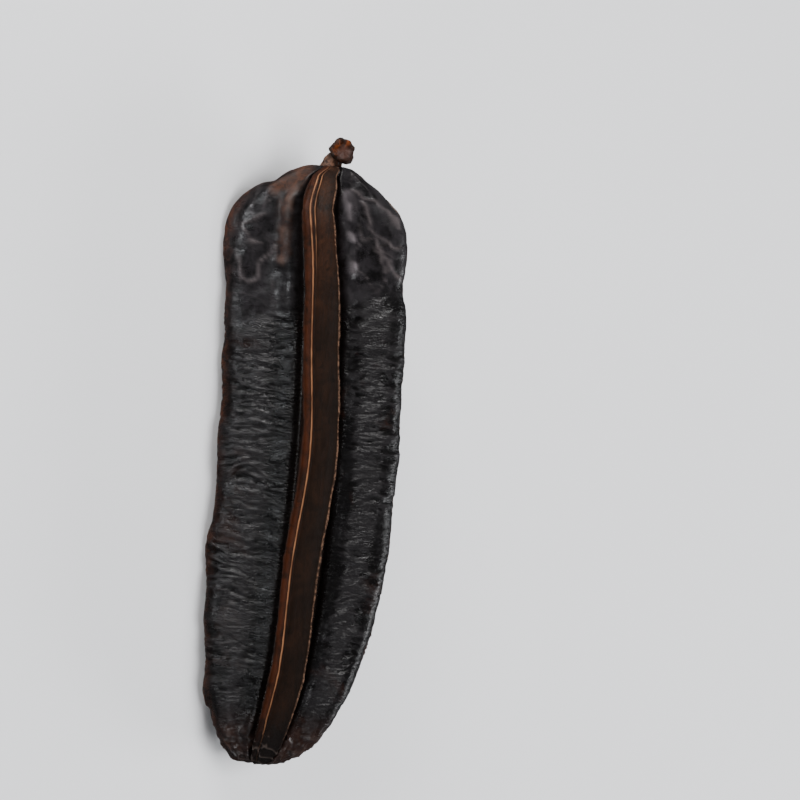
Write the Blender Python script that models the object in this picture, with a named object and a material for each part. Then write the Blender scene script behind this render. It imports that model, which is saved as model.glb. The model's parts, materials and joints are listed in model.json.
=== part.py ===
"""Aridan pod: a dried seed pod with four wings and a short bent stalk, lying on the ground.

Two opposite wings are broad and fleshy, black and wrinkled across. The other two are woody: each ends in a
flat brown band with a seam along its middle. The pod is drawn along its own axis as a stack of cross
sections, from the blunt end to the shoulder and on along the stalk. It is then turned until its weight
lies as low as it can, and set on the ground at z = 0. Lengths are in metres, angles in radians.
"""

import math

import bpy
import numpy as np

MM = 0.001

# The pod as a whole.
BODY_LENGTH = 186.5 * MM
FLESHY_REACH = 27.9 * MM  # from the axis to the rim of a fleshy wing
WOODY_REACH = 21.5 * MM  # from the axis to the band of a woody wing
BOW = 5.7 * MM  # how far the middle of the axis stands off the straight line between its ends
SHOULDER_DEPTH = 25.5 * MM  # length over which the stalk end rounds off, on the fleshy wings
WOODY_SHOULDER_DEPTH = 22.0 * MM
SHOULDER_POWER = 1.8  # two would round the shoulder off as an ellipse
BLUNT_TAPER = 75.0 * MM  # length over which the pod narrows to its blunt end
WOODY_TAPER = 62.0 * MM
BLUNT_POWER = 1 / 2.6  # a half would be an ellipse; less gives a fuller end
LEAST_SHARE = 0.06  # of its full reach that a wing keeps at the shoulder's top, under the stalk

# The cross section.
BAND_HALF = 6.6 * MM  # half the width of the woody band
# The halves of a band aren't alike. For each quarter of the section: the width of its half as a share of
# that, at the shoulder and along the body.
HALVES = ((1.0, 1.22), (0.52, 0.46), (1.0, 1.0), (1.0, 1.0))
WIDEN_FROM = 22 * MM  # from the shoulder's top to where the one width starts to turn into the other
WIDEN_OVER = 22 * MM
GROOVE_OUT = 6.3 * MM  # the groove between two wings, along the fleshy one
GROOVE_UP = 6.8 * MM  # and along the woody one
FLESH_HALF = 5.5 * MM  # half the thickness of a fleshy wing
SECTION_EASE = 16.0 * MM  # the section starts to shrink as a whole where its reach is near this
WOODY_EASE = 12.0 * MM  # and along the woody wings where theirs is near this

# The relief.
WRINKLE = 0.50 * MM  # height of a cross wrinkle above, and depth below, the smooth wing
WRINKLE_STEP = 2.2 * MM  # from a wrinkle's top to the furrow beside it
WRINKLE_WANDER = 2.8 * MM
WRINKLE_SLIP = 1.1  # how many steps the wrinkles slip along the wing from place to place
DENT = 1.0 * MM
CREASE = 0.55 * MM  # the folds that run down from the stalk over the shoulder
CREASE_WIDTH = 0.15  # as a share of the wing's reach
MARGIN = 0.45 * MM  # the raised line inside the rim, on the shoulder
RIM_WAVE = 0.45 * MM
WING_SWAY = 1.5 * MM
WING_CURL = 1.5  # a power: the sway grows faster and faster towards the rim
BAND_SWAY = 0.7 * MM
LIP_WAVE = 0.3 * MM
WRINKLES_FROM = 30 * MM  # from the shoulder's top to where the wrinkles start
WRINKLES_FADE = 14 * MM  # and the length over which they grow
BLUNT_FADE = 12 * MM  # they fade out over this length at the blunt end
SHOULDER_TO = 26 * MM  # from the top to where the smooth shoulder starts to end
SHOULDER_FADE = 20 * MM
CREASE_FROM = 8 * MM  # the shoulder's creases start this far from the top
CREASE_TO = 34 * MM
CREASE_REACH = 48 * MM
CREASE_AT = 0.30  # where a crease starts, as a share of the wing's reach
CREASE_SPREAD = 0.40  # and how much nearer the rim it ends
MARGIN_FURROW = 0.6  # depth of the furrow outside the raised line, as a share of its height
WRINKLE_MEAN = 0.62  # how strong wrinkles are: the mean, what chance adds, and the most
WRINKLE_SPREAD = 0.75
WRINKLE_MOST = 1.25
RIM_FROM = 0.7  # the rim's waves start at this share of the wing's reach
BULGE = 1.6 * MM  # how far the right wing's shoulder stands out
BULGE_AT = 22 * MM  # and how far from the top
BULGE_WIDTH = 8 * MM

# The stalk, as points of its middle line: along the pod from the shoulder, to the right, to the front.
STALK_LINE = (
    (0.0 * MM, 5.6 * MM, 0.0 * MM),
    (3.4 * MM, 6.6 * MM, 0.5 * MM),
    (4.6 * MM, 8.4 * MM, 1.6 * MM),
    (5.0 * MM, 9.3 * MM, 5.2 * MM),
)
STALK_BASE = 3.3 * MM
STALK_BLEND = 9 * MM  # the section grows round over this length below the stalk
ROUND_OVER = 1.5 * MM  # and its points spread evenly over this one
STALK_SHIFT = 3.2 * MM  # how far the sections move over to the stalk's side
STALK_LEAN = 16 * MM  # and the length over which they do
STALK_STEP = 2.4 * MM  # how much further the last of them move
STEP_OVER = 4.0 * MM
# Shares of the way along that line with the radius there. It swells to a knob, and the last ring lies
# inside the broken end, a little way back.
STALK_STOPS = (
    (0.16, 2.90 * MM),
    (0.28, 2.60 * MM),
    (0.41, 2.45 * MM),
    (0.54, 2.60 * MM),
    (0.66, 3.30 * MM),
    (0.78, 3.90 * MM),
    (0.90, 3.90 * MM),
    (0.99, 3.15 * MM),
    (0.95, 1.70 * MM),
)
KNOB_FROM = 0.60
KNOB_FADE = 0.20
BREAK_FROM = 0.93  # the share of the stalk's line past which a ring belongs to the broken end
TIP_OUT = 0.15 * MM  # the middle of the broken end stands this far out of its last ring
BREAK = 0.35 * MM  # how rough the broken end is
KNOB_ROUGH = 0.04  # as a share of its radius
STALK_RIBS = ((3, 0.05, 2.1), (5, 0.04, 4.0))  # waves round it, their height as a share, their twist

# How the surface is divided.
QUARTER = 15  # steps round one quarter of a section
BLUNT_RINGS = 10
BLUNT_LENGTH = 24.0 * MM
BLUNT_SPREAD = 2.2  # a power: the sections stand closer together towards the blunt end
SHOULDER_RINGS = 14
STEP_RANGE = (0.7, 1.3)  # least and most of the mean step between two sections
FOLD_ROW = 8  # the row where the fleshy wing starts
LIP_ROWS = (3, 4)
SEED = 41

# The random draws: where each one's seeds start, and its knots along the pod and across a wing.
SLIP_SEED = SEED + 27
SLIP_KNOTS = (14, 2)
DENT_SEED = SEED + 7
DENT_KNOTS = (15, 2)
DRIFT_SEED = SEED + 17
DRIFT_KNOTS = (17, 3)
RIM_SEED = SEED + 31
RIM_KNOTS = 24
BAND_SEED = SEED + 41
BAND_KNOTS = 6
WING_KNOTS = 5
LIP_KNOTS = 40
SECOND_DRAW = 4  # from the seed of a rim's or band's first draw to that of its second
FACE_SEEDS = 100  # from one face's first seed to the next one's
STRENGTH_KNOTS = 4

# How it lies.
FIRST_ROLL = math.radians(45)
TRY_REACHES = (0.10, 0.03, 0.01, 0.003, 0.001, 0.0003)  # how far round the best turn to try
TRIES = 7
SINK = 0.60 * MM  # the rims are worn flat by this much where they touch the ground

BLACK = (0.030, 0.026, 0.024, 1.0)
WAXY = 0.55  # roughness


def ease(x):
    """A smooth step from 0 to 1."""
    x = np.clip(x, 0, 1)
    return x * x * (3 - 2 * x)


def line_noise(seed, knots, x):
    """A smooth random line from x = 0 to 1, between -1 and 1."""
    draws = np.random.default_rng(seed).uniform(-1, 1, knots + 1)
    place = np.clip(x, 0, 1) * knots
    low = np.minimum(place.astype(int), knots - 1)
    part = ease(place - low)
    return draws[low] * (1 - part) + draws[low + 1] * part


def field_noise(seed, rows, columns, x, y):
    """A smooth random field over x and y from 0 to 1, between -1 and 1."""
    draws = np.random.default_rng(seed).uniform(-1, 1, (rows + 1, columns + 1))
    across = np.clip(x, 0, 1) * rows
    along = np.clip(y, 0, 1) * columns
    i = np.minimum(across.astype(int), rows - 1)
    j = np.minimum(along.astype(int), columns - 1)
    a = ease(across - i)
    b = ease(along - j)
    near = draws[i, j] * (1 - b) + draws[i, j + 1] * b
    far = draws[i + 1, j] * (1 - b) + draws[i + 1, j + 1] * b
    return near * (1 - a) + far * a


def reaches(from_blunt):
    """How far the fleshy and the woody wings reach from the axis, at a distance from the blunt end."""
    from_top = np.clip(BODY_LENGTH - from_blunt, 0, None)
    blunt = 1 - np.clip(from_blunt / BLUNT_TAPER, 0, 1)
    top = 1 - np.clip(from_top / SHOULDER_DEPTH, 0, 1)
    round_off = np.maximum(np.sqrt(1 - top**SHOULDER_POWER), LEAST_SHARE)
    fleshy = FLESHY_REACH * (1 - blunt**2) ** BLUNT_POWER * round_off
    blunt = 1 - np.clip(from_blunt / WOODY_TAPER, 0, 1)
    top = 1 - np.clip(from_top / WOODY_SHOULDER_DEPTH, 0, 1)
    round_off = np.maximum(np.sqrt(1 - top**SHOULDER_POWER), LEAST_SHARE)
    woody = WOODY_REACH * (1 - blunt**2) ** BLUNT_POWER * round_off
    return fleshy, woody


def stations():
    """Distances of the sections from the blunt end. Wrinkle tops and furrows lie on them by turns."""
    blunt = BLUNT_LENGTH * (np.arange(1, BLUNT_RINGS + 1) / BLUNT_RINGS) ** BLUNT_SPREAD
    length = BODY_LENGTH - SHOULDER_DEPTH - BLUNT_LENGTH
    count = round(length / WRINKLE_STEP)
    steps = np.random.default_rng(SEED).uniform(*STEP_RANGE, count)
    middle = BLUNT_LENGTH + length * np.cumsum(steps) / steps.sum()
    angle = np.linspace(math.pi / 2, 0, SHOULDER_RINGS + 1)[1:]
    shoulder = BODY_LENGTH - SHOULDER_DEPTH * (1 - np.cos(angle))
    return np.concatenate([blunt, middle, shoulder])


# One quarter of a section, from the seam of a woody band to the rim of a fleshy wing. The first rows go
# over the band and down its side to the groove. There, out is a share of the band's half width, and drop
# is how far the row lies below the band, as a length at the top and as a share of the way to the groove.
BAND_OUT = (0.0, 0.24, 0.66, 0.90, 1.0, 0.76, 0.72)
BAND_DROP = (-0.55 * MM, 0.20 * MM, 0.50 * MM, 0.0, 1.10 * MM)
SIDE_DROP = (0.26, 0.68)
# The other rows go out along the fleshy wing: shares of the way from groove to rim, and heights as shares
# of the wing's half thickness. The first of them is the groove, then comes a rounded fold beside it.
FLESH_OUT = (0.0, 0.085, 0.185, 0.32, 0.49, 0.66, 0.81, 0.935, 1.0)
FLESH_UP = (1.24, 1.46, 1.52, 1.16, 1.02, 1.00, 0.97, 0.64, 0.0)
# How much of a wrinkle each row shows.
WRINKLE_SHOWS = (0, 0, 0, 0, 0, 0, 0, 0.0, 0.15, 0.40, 0.9, 1.0, 1.0, 0.9, 0.5, 0.18)


def half_width(face, from_top):
    """The width of a quarter's half of the band, as a share of the mean half."""
    top, body = HALVES[face]
    return top + (body - top) * ease((from_top - WIDEN_FROM) / WIDEN_OVER)


def section(fleshy, woody, wide):
    """A quarter of a section with these reaches: lengths along the fleshy and along the woody wing."""
    small = np.tanh(fleshy / SECTION_EASE) / math.tanh(FLESHY_REACH / SECTION_EASE)
    low = np.tanh(woody / WOODY_EASE) / math.tanh(WOODY_REACH / WOODY_EASE)
    band = BAND_HALF * small * wide
    groove_out = GROOVE_OUT * small * wide
    groove_up = GROOVE_UP * low
    out = [band * share for share in BAND_OUT]
    up = [woody - drop * low * small for drop in BAND_DROP]
    up += [up[-1] + (groove_up - up[-1]) * share for share in SIDE_DROP]
    for share, height in zip(FLESH_OUT, FLESH_UP):
        out.append(groove_out + (fleshy - groove_out) * share)
        up.append(FLESH_HALF * low * height)
    return np.stack(out, -1), np.stack(up, -1)


def body_rings():
    """The sections of the body: points as along, right and front, one ring to a station."""
    place = stations()
    rings = len(place)
    fleshy, woody = reaches(place)
    from_top = BODY_LENGTH - place
    around = np.arange(4 * QUARTER)
    quarter = around // QUARTER
    step = around % QUARTER
    row = np.where(quarter % 2 == 0, QUARTER - step, step)
    to_right = np.where((quarter == 0) | (quarter == 3), 1.0, -1.0)
    to_front = np.where(quarter < 2, 1.0, -1.0)
    right = np.empty((rings, 4 * QUARTER))
    front = np.empty_like(right)
    for face in range(4):
        out, up = section(fleshy, woody, half_width(face, from_top))
        here = quarter == face
        right[:, here] = out[:, row[here]]
        front[:, here] = up[:, row[here]]
    right = right * to_right
    front = front * to_front

    # Relief is measured outward, square to the line of the section.
    run_right = np.roll(right, -1, 1) - np.roll(right, 1, 1)
    run_front = np.roll(front, -1, 1) - np.roll(front, 1, 1)
    run = np.hypot(run_right, run_front) + 1e-9
    normal_right = run_front / run
    normal_front = -run_right / run

    share = (place / BODY_LENGTH)[:, None] + 0 * right
    outward = np.clip(np.abs(right) / (fleshy[:, None] + 1e-9), 0, 1)
    on_flesh = np.clip((row - FOLD_ROW) / 2, 0, 1)[None, :]
    wrinkled = ease((from_top - WRINKLES_FROM) / WRINKLES_FADE) * ease(place / BLUNT_FADE)
    shoulder = 1 - ease((from_top - SHOULDER_TO) / SHOULDER_FADE)
    full_grown = np.clip(fleshy / FLESHY_REACH, 0, 1)
    dented = (1 + shoulder) / 2 * full_grown
    creased = (1 - ease((from_top - CREASE_TO) / WRINKLES_FADE)) * ease(from_top / CREASE_FROM)
    margin = MARGIN * shoulder * full_grown
    beat = math.pi * np.arange(rings)[:, None]
    relief = margin[:, None] * ((row == QUARTER - 2) - MARGIN_FURROW * (row == QUARTER - 1))[None, :]
    wander = np.zeros_like(right)
    for face in range(4):
        here = (quarter == face)[None, :]
        strength = np.empty_like(right)
        for i in range(rings):
            chance = line_noise(SEED + FACE_SEEDS * face + i, STRENGTH_KNOTS, outward[i])
            strength[i] = WRINKLE_MEAN + WRINKLE_SPREAD * chance
        strength = np.clip(strength, 0, WRINKLE_MOST) * np.array(WRINKLE_SHOWS)[row]
        slip = WRINKLE_SLIP * field_noise(SLIP_SEED + face, *SLIP_KNOTS, share, outward)
        wrinkle = WRINKLE * np.cos(beat + math.pi * slip) * strength * wrinkled[:, None]
        dent = DENT * field_noise(DENT_SEED + face, *DENT_KNOTS, share, outward) * dented[:, None]
        fan = CREASE_AT + CREASE_SPREAD * np.clip(from_top / CREASE_REACH, 0, 1)[:, None]
        crease = -CREASE * np.exp(-(((outward - fan) / CREASE_WIDTH) ** 2)) * creased[:, None]
        relief += np.where(here, wrinkle + (dent + crease) * on_flesh, 0)
        drift = WRINKLE_WANDER * field_noise(DRIFT_SEED + face, *DRIFT_KNOTS, share, outward)
        wander += np.where(here, drift * wrinkled[:, None] * on_flesh, 0)

    # The rims are wavy, and no wing is quite flat.
    rim = np.clip((outward - RIM_FROM) / (1 - RIM_FROM), 0, 1)
    for side, seed in ((1.0, RIM_SEED), (-1.0, RIM_SEED + 1)):
        wave = RIM_WAVE * line_noise(seed, RIM_KNOTS, share) * rim
        relief += np.where(to_right[None, :] == side, wave, 0)
        sway = WING_SWAY * line_noise(seed + SECOND_DRAW, WING_KNOTS, share) * outward**WING_CURL
        front = front + np.where(to_right[None, :] == side, sway, 0) * ease(fleshy / FLESHY_REACH)[:, None]
    bulge = BULGE * np.exp(-(((from_top - BULGE_AT) / BULGE_WIDTH) ** 2))[:, None] * rim
    relief += np.where(to_right[None, :] > 0, bulge, 0)
    high = np.clip(np.abs(front) / WOODY_REACH, 0, 1)
    for side, seed in ((1.0, BAND_SEED), (-1.0, BAND_SEED + 1)):
        sway = BAND_SWAY * line_noise(seed, BAND_KNOTS, share) * high**2
        right = right + np.where(to_front[None, :] == side, sway, 0)
        lip = LIP_WAVE * line_noise(seed + SECOND_DRAW, LIP_KNOTS, share) * np.isin(row, LIP_ROWS)[None, :]
        relief += np.where(to_front[None, :] == side, lip, 0) * (woody / WOODY_REACH)[:, None]

    right = right + normal_right * relief
    front = front + normal_front * relief

    # Near the shoulder's top the section grows round and takes the thickness of the stalk.
    far = np.hypot(right, front) + 1e-9
    blend = 1 - ease(from_top / STALK_BLEND)[:, None]
    full = (far**3 + (blend * STALK_BASE) ** 3) ** (1 / 3)
    even = math.tau * around / (4 * QUARTER)
    rounded = 1 - ease(from_top / ROUND_OVER)[:, None]
    right = right * full / far * (1 - rounded) + full * np.cos(even) * rounded
    front = front * full / far * (1 - rounded) + full * np.sin(even) * rounded
    along = place[:, None] + wander

    middle = BOW * 4 * share * (1 - share)
    lean = STALK_SHIFT * (1 - ease(from_top / STALK_LEAN)) + STALK_STEP * (1 - ease(from_top / STEP_OVER))
    return np.stack([along, right + middle + lean[:, None], front], -1)


def on_stalk(share):
    """A point of the stalk's middle line, and the way the line runs there."""
    back = 1 - share
    weights = (back**3, 3 * share * back**2, 3 * share**2 * back, share**3)
    slopes = (-3 * back**2, 3 * back * (1 - 3 * share), 3 * share * (2 - 3 * share), 3 * share**2)
    line = np.array(STALK_LINE)
    ahead = np.dot(slopes, line)
    return np.dot(weights, line) + (BODY_LENGTH, 0, 0), ahead / np.linalg.norm(ahead)


def stalk_rings():
    """The rings of the stalk along its line, their points in step with the shoulder's last ring."""
    angle = math.tau * np.arange(4 * QUARTER) / (4 * QUARTER)
    rings = []
    for share, radius in STALK_STOPS:
        middle, ahead = on_stalk(share)
        to_front = np.array((0.0, 0.0, 1.0))
        to_front = to_front - ahead * np.dot(to_front, ahead)
        to_front = to_front / np.linalg.norm(to_front)
        to_right = np.cross(to_front, ahead)
        knob = ease((share - KNOB_FROM) / KNOB_FADE)
        rough = 1 + KNOB_ROUGH * knob * np.sin(4 * angle + 1)
        for waves, rise, twist in STALK_RIBS:
            rough = rough + rise * np.sin(waves * angle + twist * share)
        out = (radius * rough)[:, None]
        ring = middle + out * (np.cos(angle)[:, None] * to_right + np.sin(angle)[:, None] * to_front)
        torn = BREAK * (share > BREAK_FROM) * (np.sin(2 * angle + 0.6) + 0.5 * np.sin(5 * angle))
        rings.append(ring + torn[:, None] * ahead)
    return np.array(rings), middle + TIP_OUT * ahead


def grid():
    """All rings of the pod, and the points that close its two ends."""
    body = body_rings()
    stalk, tip = stalk_rings()
    rings = np.concatenate([body, stalk])
    blunt = body[0].mean(0)
    blunt[0] = 0.0
    return rings, blunt, tip


def faces_of(rings, points):
    """Four-sided faces between neighbouring rings, and fans of triangles at the two ends."""
    faces = []
    for i in range(rings - 1):
        for j in range(points):
            k = (j + 1) % points
            a = i * points
            b = a + points
            faces.append((a + j, b + j, b + k, a + k))
    blunt = rings * points
    last = (rings - 1) * points
    for j in range(points):
        k = (j + 1) % points
        faces.append((blunt, j, k))
        faces.append((blunt + 1, last + k, last + j))
    return faces


def turned(points, roll, pitch):
    """The pod's own axes laid into the world: the stalk end points to -X and the front looks up."""
    laid = np.stack([BODY_LENGTH / 2 - points[:, 0], points[:, 1], points[:, 2]], -1)
    c, s = math.cos(roll), math.sin(roll)
    laid = np.stack([laid[:, 0], c * laid[:, 1] - s * laid[:, 2], s * laid[:, 1] + c * laid[:, 2]], -1)
    c, s = math.cos(pitch), math.sin(pitch)
    return np.stack([c * laid[:, 0] + s * laid[:, 2], laid[:, 1], c * laid[:, 2] - s * laid[:, 0]], -1)


def middle_of_volume(points, faces):
    """The centre of the space that the faces enclose."""
    total = 0.0
    centre = np.zeros(3)
    for face in faces:
        for k in range(1, len(face) - 1):
            a, b, c = points[face[0]], points[face[k]], points[face[k + 1]]
            volume = np.dot(a, np.cross(b, c)) / 6
            total += volume
            centre += volume * (a + b + c) / 4
    return centre / total


def lowest_lie(points, faces):
    """The turn at which the pod's weight lies as low as it can near the first roll."""
    weight = middle_of_volume(points, faces)[None, :]
    best = (FIRST_ROLL, 0.0)
    for reach in TRY_REACHES:
        tries = []
        for roll in np.linspace(best[0] - reach, best[0] + reach, TRIES):
            for pitch in np.linspace(best[1] - reach, best[1] + reach, TRIES):
                height = turned(weight, roll, pitch)[0, 2] - turned(points, roll, pitch)[:, 2].min()
                tries.append((height, roll, pitch))
        best = min(tries)[1:]
    return best


def set_down(points, faces):
    """Turns the pod to its lie, wears its rims flat where they touch, and centres it over the origin."""
    roll, pitch = lowest_lie(points, faces)
    laid = turned(points, roll, pitch)
    laid[:, 2] = np.maximum(laid[:, 2] - laid[:, 2].min() - SINK, 0)
    low = laid.min(0)
    high = laid.max(0)
    laid[:, 0] -= (low[0] + high[0]) / 2
    laid[:, 1] -= (low[1] + high[1]) / 2
    return laid, roll, pitch


def plain_material(name, colour, roughness):
    """A material with one colour and one roughness."""
    material = bpy.data.materials.new(name)
    material.use_nodes = True
    shader = material.node_tree.nodes["Principled BSDF"]
    shader.inputs["Base Color"].default_value = colour
    shader.inputs["Roughness"].default_value = roughness
    material.diffuse_color = colour
    return material


def clear_scene():
    """Removes the objects of the opening scene."""
    for thing in list(bpy.data.objects):
        bpy.data.objects.remove(thing, do_unlink=True)


def main():
    """Builds the pod as one solid."""
    clear_scene()
    home = bpy.data.collections.new("aridan pod")
    bpy.context.scene.collection.children.link(home)
    rings, blunt, tip = grid()
    faces = faces_of(rings.shape[0], rings.shape[1])
    points = np.concatenate([rings.reshape(-1, 3), blunt[None], tip[None]])
    points, _, _ = set_down(points, faces)
    mesh = bpy.data.meshes.new("aridan_pod")
    mesh.from_pydata(points.tolist(), [], faces)
    mesh.materials.append(plain_material("pod_skin", BLACK, WAXY))
    mesh.update()
    pod = bpy.data.objects.new("aridan_pod", mesh)
    home.objects.link(pod)


main()
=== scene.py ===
# %% [markdown]
# # A dried aridan pod
# The pod is one grown thing: two fleshy wings, black and wrinkled across, and two woody wings that end in a
# flat brown band, with a short stalk that ends in a broken knob. It lies on two of its four wings.
# The construction file holds the same form with few faces. This script draws it again from the same sizes,
# much finer, adds the small relief, and gives it its skin, its wood and the light.

import json
import math

import bpy
import numpy as np
from mathutils import Matrix, Vector

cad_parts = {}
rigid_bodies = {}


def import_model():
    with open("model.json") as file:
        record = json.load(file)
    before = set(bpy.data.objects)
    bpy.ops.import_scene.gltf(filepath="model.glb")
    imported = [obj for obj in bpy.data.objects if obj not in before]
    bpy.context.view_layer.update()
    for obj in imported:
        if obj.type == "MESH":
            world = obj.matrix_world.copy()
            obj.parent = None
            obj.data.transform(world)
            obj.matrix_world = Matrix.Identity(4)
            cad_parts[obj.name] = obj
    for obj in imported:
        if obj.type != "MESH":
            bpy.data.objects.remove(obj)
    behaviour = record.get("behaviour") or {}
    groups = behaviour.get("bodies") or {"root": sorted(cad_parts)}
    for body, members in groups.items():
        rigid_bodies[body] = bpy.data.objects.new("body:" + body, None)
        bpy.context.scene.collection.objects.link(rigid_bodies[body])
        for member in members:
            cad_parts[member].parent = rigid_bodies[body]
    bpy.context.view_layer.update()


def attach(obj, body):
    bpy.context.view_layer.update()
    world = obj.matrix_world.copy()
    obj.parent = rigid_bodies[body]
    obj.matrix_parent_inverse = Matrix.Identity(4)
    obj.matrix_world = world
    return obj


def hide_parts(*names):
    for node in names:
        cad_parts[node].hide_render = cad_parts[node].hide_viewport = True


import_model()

# %% [markdown]
# ## The sizes that everything follows from
# All lengths are in metres. They are the construction's own, so that the fine pod has the form of the solid.
# Sizes could be read off the loaded solid instead, but its points have lost their order, and a form that
# is written as a rule can be drawn at any fineness.

# %% Driving sizes
MM = 0.001
# The outline of the body.
BODY_LENGTH = 186.5 * MM
FLESHY_REACH = 27.9 * MM
WOODY_REACH = 21.5 * MM
BOW = 5.7 * MM
SHOULDER_DEPTH = 25.5 * MM
WOODY_SHOULDER_DEPTH = 22.0 * MM
SHOULDER_POWER = 1.8
BLUNT_TAPER = 75.0 * MM
WOODY_TAPER = 62.0 * MM
BLUNT_POWER = 1 / 2.6
LEAST_SHARE = 0.06

# The section: the band with its two halves at the top and along the body, the grooves and the flesh.
BAND_HALF = 6.6 * MM
HALVES = ((1.0, 1.22), (0.52, 0.46), (1.0, 1.0), (1.0, 1.0))
WIDEN_FROM = 22 * MM
WIDEN_OVER = 22 * MM
GROOVE_OUT = 6.3 * MM
GROOVE_UP = 6.8 * MM
FLESH_HALF = 5.5 * MM
SECTION_EASE = 16.0 * MM
WOODY_EASE = 12.0 * MM

# Wrinkles, dents, creases and the sway of wings and band.
WRINKLE = 0.50 * MM
WRINKLE_STEP = 2.2 * MM
WRINKLE_WANDER = 2.8 * MM
WRINKLE_SLIP = 1.1
DENT = 1.0 * MM
CREASE = 0.55 * MM
CREASE_WIDTH = 0.15
MARGIN = 0.45 * MM
RIM_WAVE = 0.45 * MM
WING_SWAY = 1.5 * MM
WING_CURL = 1.5
BAND_SWAY = 0.7 * MM
LIP_WAVE = 0.3 * MM
WRINKLES_FROM = 30 * MM
WRINKLES_FADE = 14 * MM
BLUNT_FADE = 12 * MM
SHOULDER_TO = 26 * MM
SHOULDER_FADE = 20 * MM
CREASE_FROM = 8 * MM
CREASE_TO = 34 * MM
CREASE_REACH = 48 * MM
CREASE_AT = 0.30
CREASE_SPREAD = 0.40
MARGIN_FURROW = 0.6
WRINKLE_MEAN = 0.62
WRINKLE_SPREAD = 0.75
WRINKLE_MOST = 1.25
RIM_FROM = 0.7
BULGE = 1.6 * MM
BULGE_AT = 22 * MM
BULGE_WIDTH = 8 * MM

# The stalk's line as along, right and front, and its radius at places along the line.
STALK_SHIFT = 3.2 * MM
ROUND_OVER = 1.5 * MM
STALK_STEP = 2.4 * MM
STEP_OVER = 4.0 * MM
STALK_LINE = (
    (0.0 * MM, 5.6 * MM, 0.0 * MM),
    (3.4 * MM, 6.6 * MM, 0.5 * MM),
    (4.6 * MM, 8.4 * MM, 1.6 * MM),
    (5.0 * MM, 9.3 * MM, 5.2 * MM),
)
STALK_BASE = 3.3 * MM
STALK_BLEND = 9 * MM
STALK_LEAN = 16 * MM
STALK_STOPS = (
    (0.16, 2.90 * MM),
    (0.28, 2.60 * MM),
    (0.41, 2.45 * MM),
    (0.54, 2.60 * MM),
    (0.66, 3.30 * MM),
    (0.78, 3.90 * MM),
    (0.90, 3.90 * MM),
    (0.99, 3.15 * MM),
    (0.95, 1.70 * MM),
)
KNOB_FROM = 0.60
KNOB_FADE = 0.20
BREAK_FROM = 0.93
TIP_OUT = 0.15 * MM
BREAK = 0.35 * MM
KNOB_ROUGH = 0.04
STALK_RIBS = ((3, 0.05, 2.1), (5, 0.04, 4.0))

# Points of a quarter section, rings, and the seeds and knots of the random draws.
QUARTER = 15
BLUNT_RINGS = 10
BLUNT_LENGTH = 24.0 * MM
BLUNT_SPREAD = 2.2
SHOULDER_RINGS = 14
STEP_RANGE = (0.7, 1.3)
FOLD_ROW = 8
LIP_ROWS = (3, 4)
SEED = 41

SLIP_SEED = SEED + 27
SLIP_KNOTS = (14, 2)
DENT_SEED = SEED + 7
DENT_KNOTS = (15, 2)
DRIFT_SEED = SEED + 17
DRIFT_KNOTS = (17, 3)
RIM_SEED = SEED + 31
RIM_KNOTS = 24
BAND_SEED = SEED + 41
BAND_KNOTS = 6
WING_KNOTS = 5
LIP_KNOTS = 40
SECOND_DRAW = 4
FACE_SEEDS = 100
STRENGTH_KNOTS = 4

# How the lie is searched, and how deep the rims are worn flat.
FIRST_ROLL = math.radians(45)
TRY_REACHES = (0.10, 0.03, 0.01, 0.003, 0.001, 0.0003)
TRIES = 7
SINK = 0.60 * MM

# A quarter section from the seam to the rim, as shares of the reaches, and where wrinkles show on it.
BAND_OUT = (0.0, 0.24, 0.66, 0.90, 1.0, 0.76, 0.72)
BAND_DROP = (-0.55 * MM, 0.20 * MM, 0.50 * MM, 0.0, 1.10 * MM)
SIDE_DROP = (0.26, 0.68)
FLESH_OUT = (0.0, 0.085, 0.185, 0.32, 0.49, 0.66, 0.81, 0.935, 1.0)
FLESH_UP = (1.24, 1.46, 1.52, 1.16, 1.02, 1.00, 0.97, 0.64, 0.0)
WRINKLE_SHOWS = (0, 0, 0, 0, 0, 0, 0, 0.0, 0.15, 0.40, 0.9, 1.0, 1.0, 0.9, 0.5, 0.18)
print("body", round(BODY_LENGTH / MM, 1), "mm long,", round(2 * FLESHY_REACH / MM, 1), "mm across")

# %% [markdown]
# ## Chance that stays the same
# A grown surface is irregular, but the script has to give the same pod each time. So every random draw comes
# from a numbered seed, and is spread smoothly between its knots. Lines vary along the pod, fields vary over
# one face of a wing, and clouds vary through space, so they carry on across every edge.


# %% Smooth random values
def ease(x):
    """A smooth step from 0 to 1."""
    x = np.clip(x, 0, 1)
    return x * x * (3 - 2 * x)


def rise(x, start, over):
    """A smooth step that starts at a place and is done over a distance."""
    return ease((x - start) / over)


def hill(x, middle, width):
    """A smooth hill that is 1 at its middle and falls to 0 on both sides."""
    return np.exp(-(((x - middle) / width) ** 2))


def line_noise(seed, knots, x):
    """A smooth random line from x = 0 to 1, between -1 and 1."""
    draws = np.random.default_rng(seed).uniform(-1, 1, knots + 1)
    place = np.clip(x, 0, 1) * knots
    low = np.minimum(place.astype(int), knots - 1)
    part = ease(place - low)
    return draws[low] * (1 - part) + draws[low + 1] * part


def field_noise(seed, rows, columns, x, y):
    """A smooth random field over x and y from 0 to 1, between -1 and 1."""
    draws = np.random.default_rng(seed).uniform(-1, 1, (rows + 1, columns + 1))
    across = np.clip(x, 0, 1) * rows
    along = np.clip(y, 0, 1) * columns
    i = np.minimum(across.astype(int), rows - 1)
    j = np.minimum(along.astype(int), columns - 1)
    a = ease(across - i)
    b = ease(along - j)
    near = draws[i, j] * (1 - b) + draws[i, j + 1] * b
    far = draws[i + 1, j] * (1 - b) + draws[i + 1, j + 1] * b
    return near * (1 - a) + far * a


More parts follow.
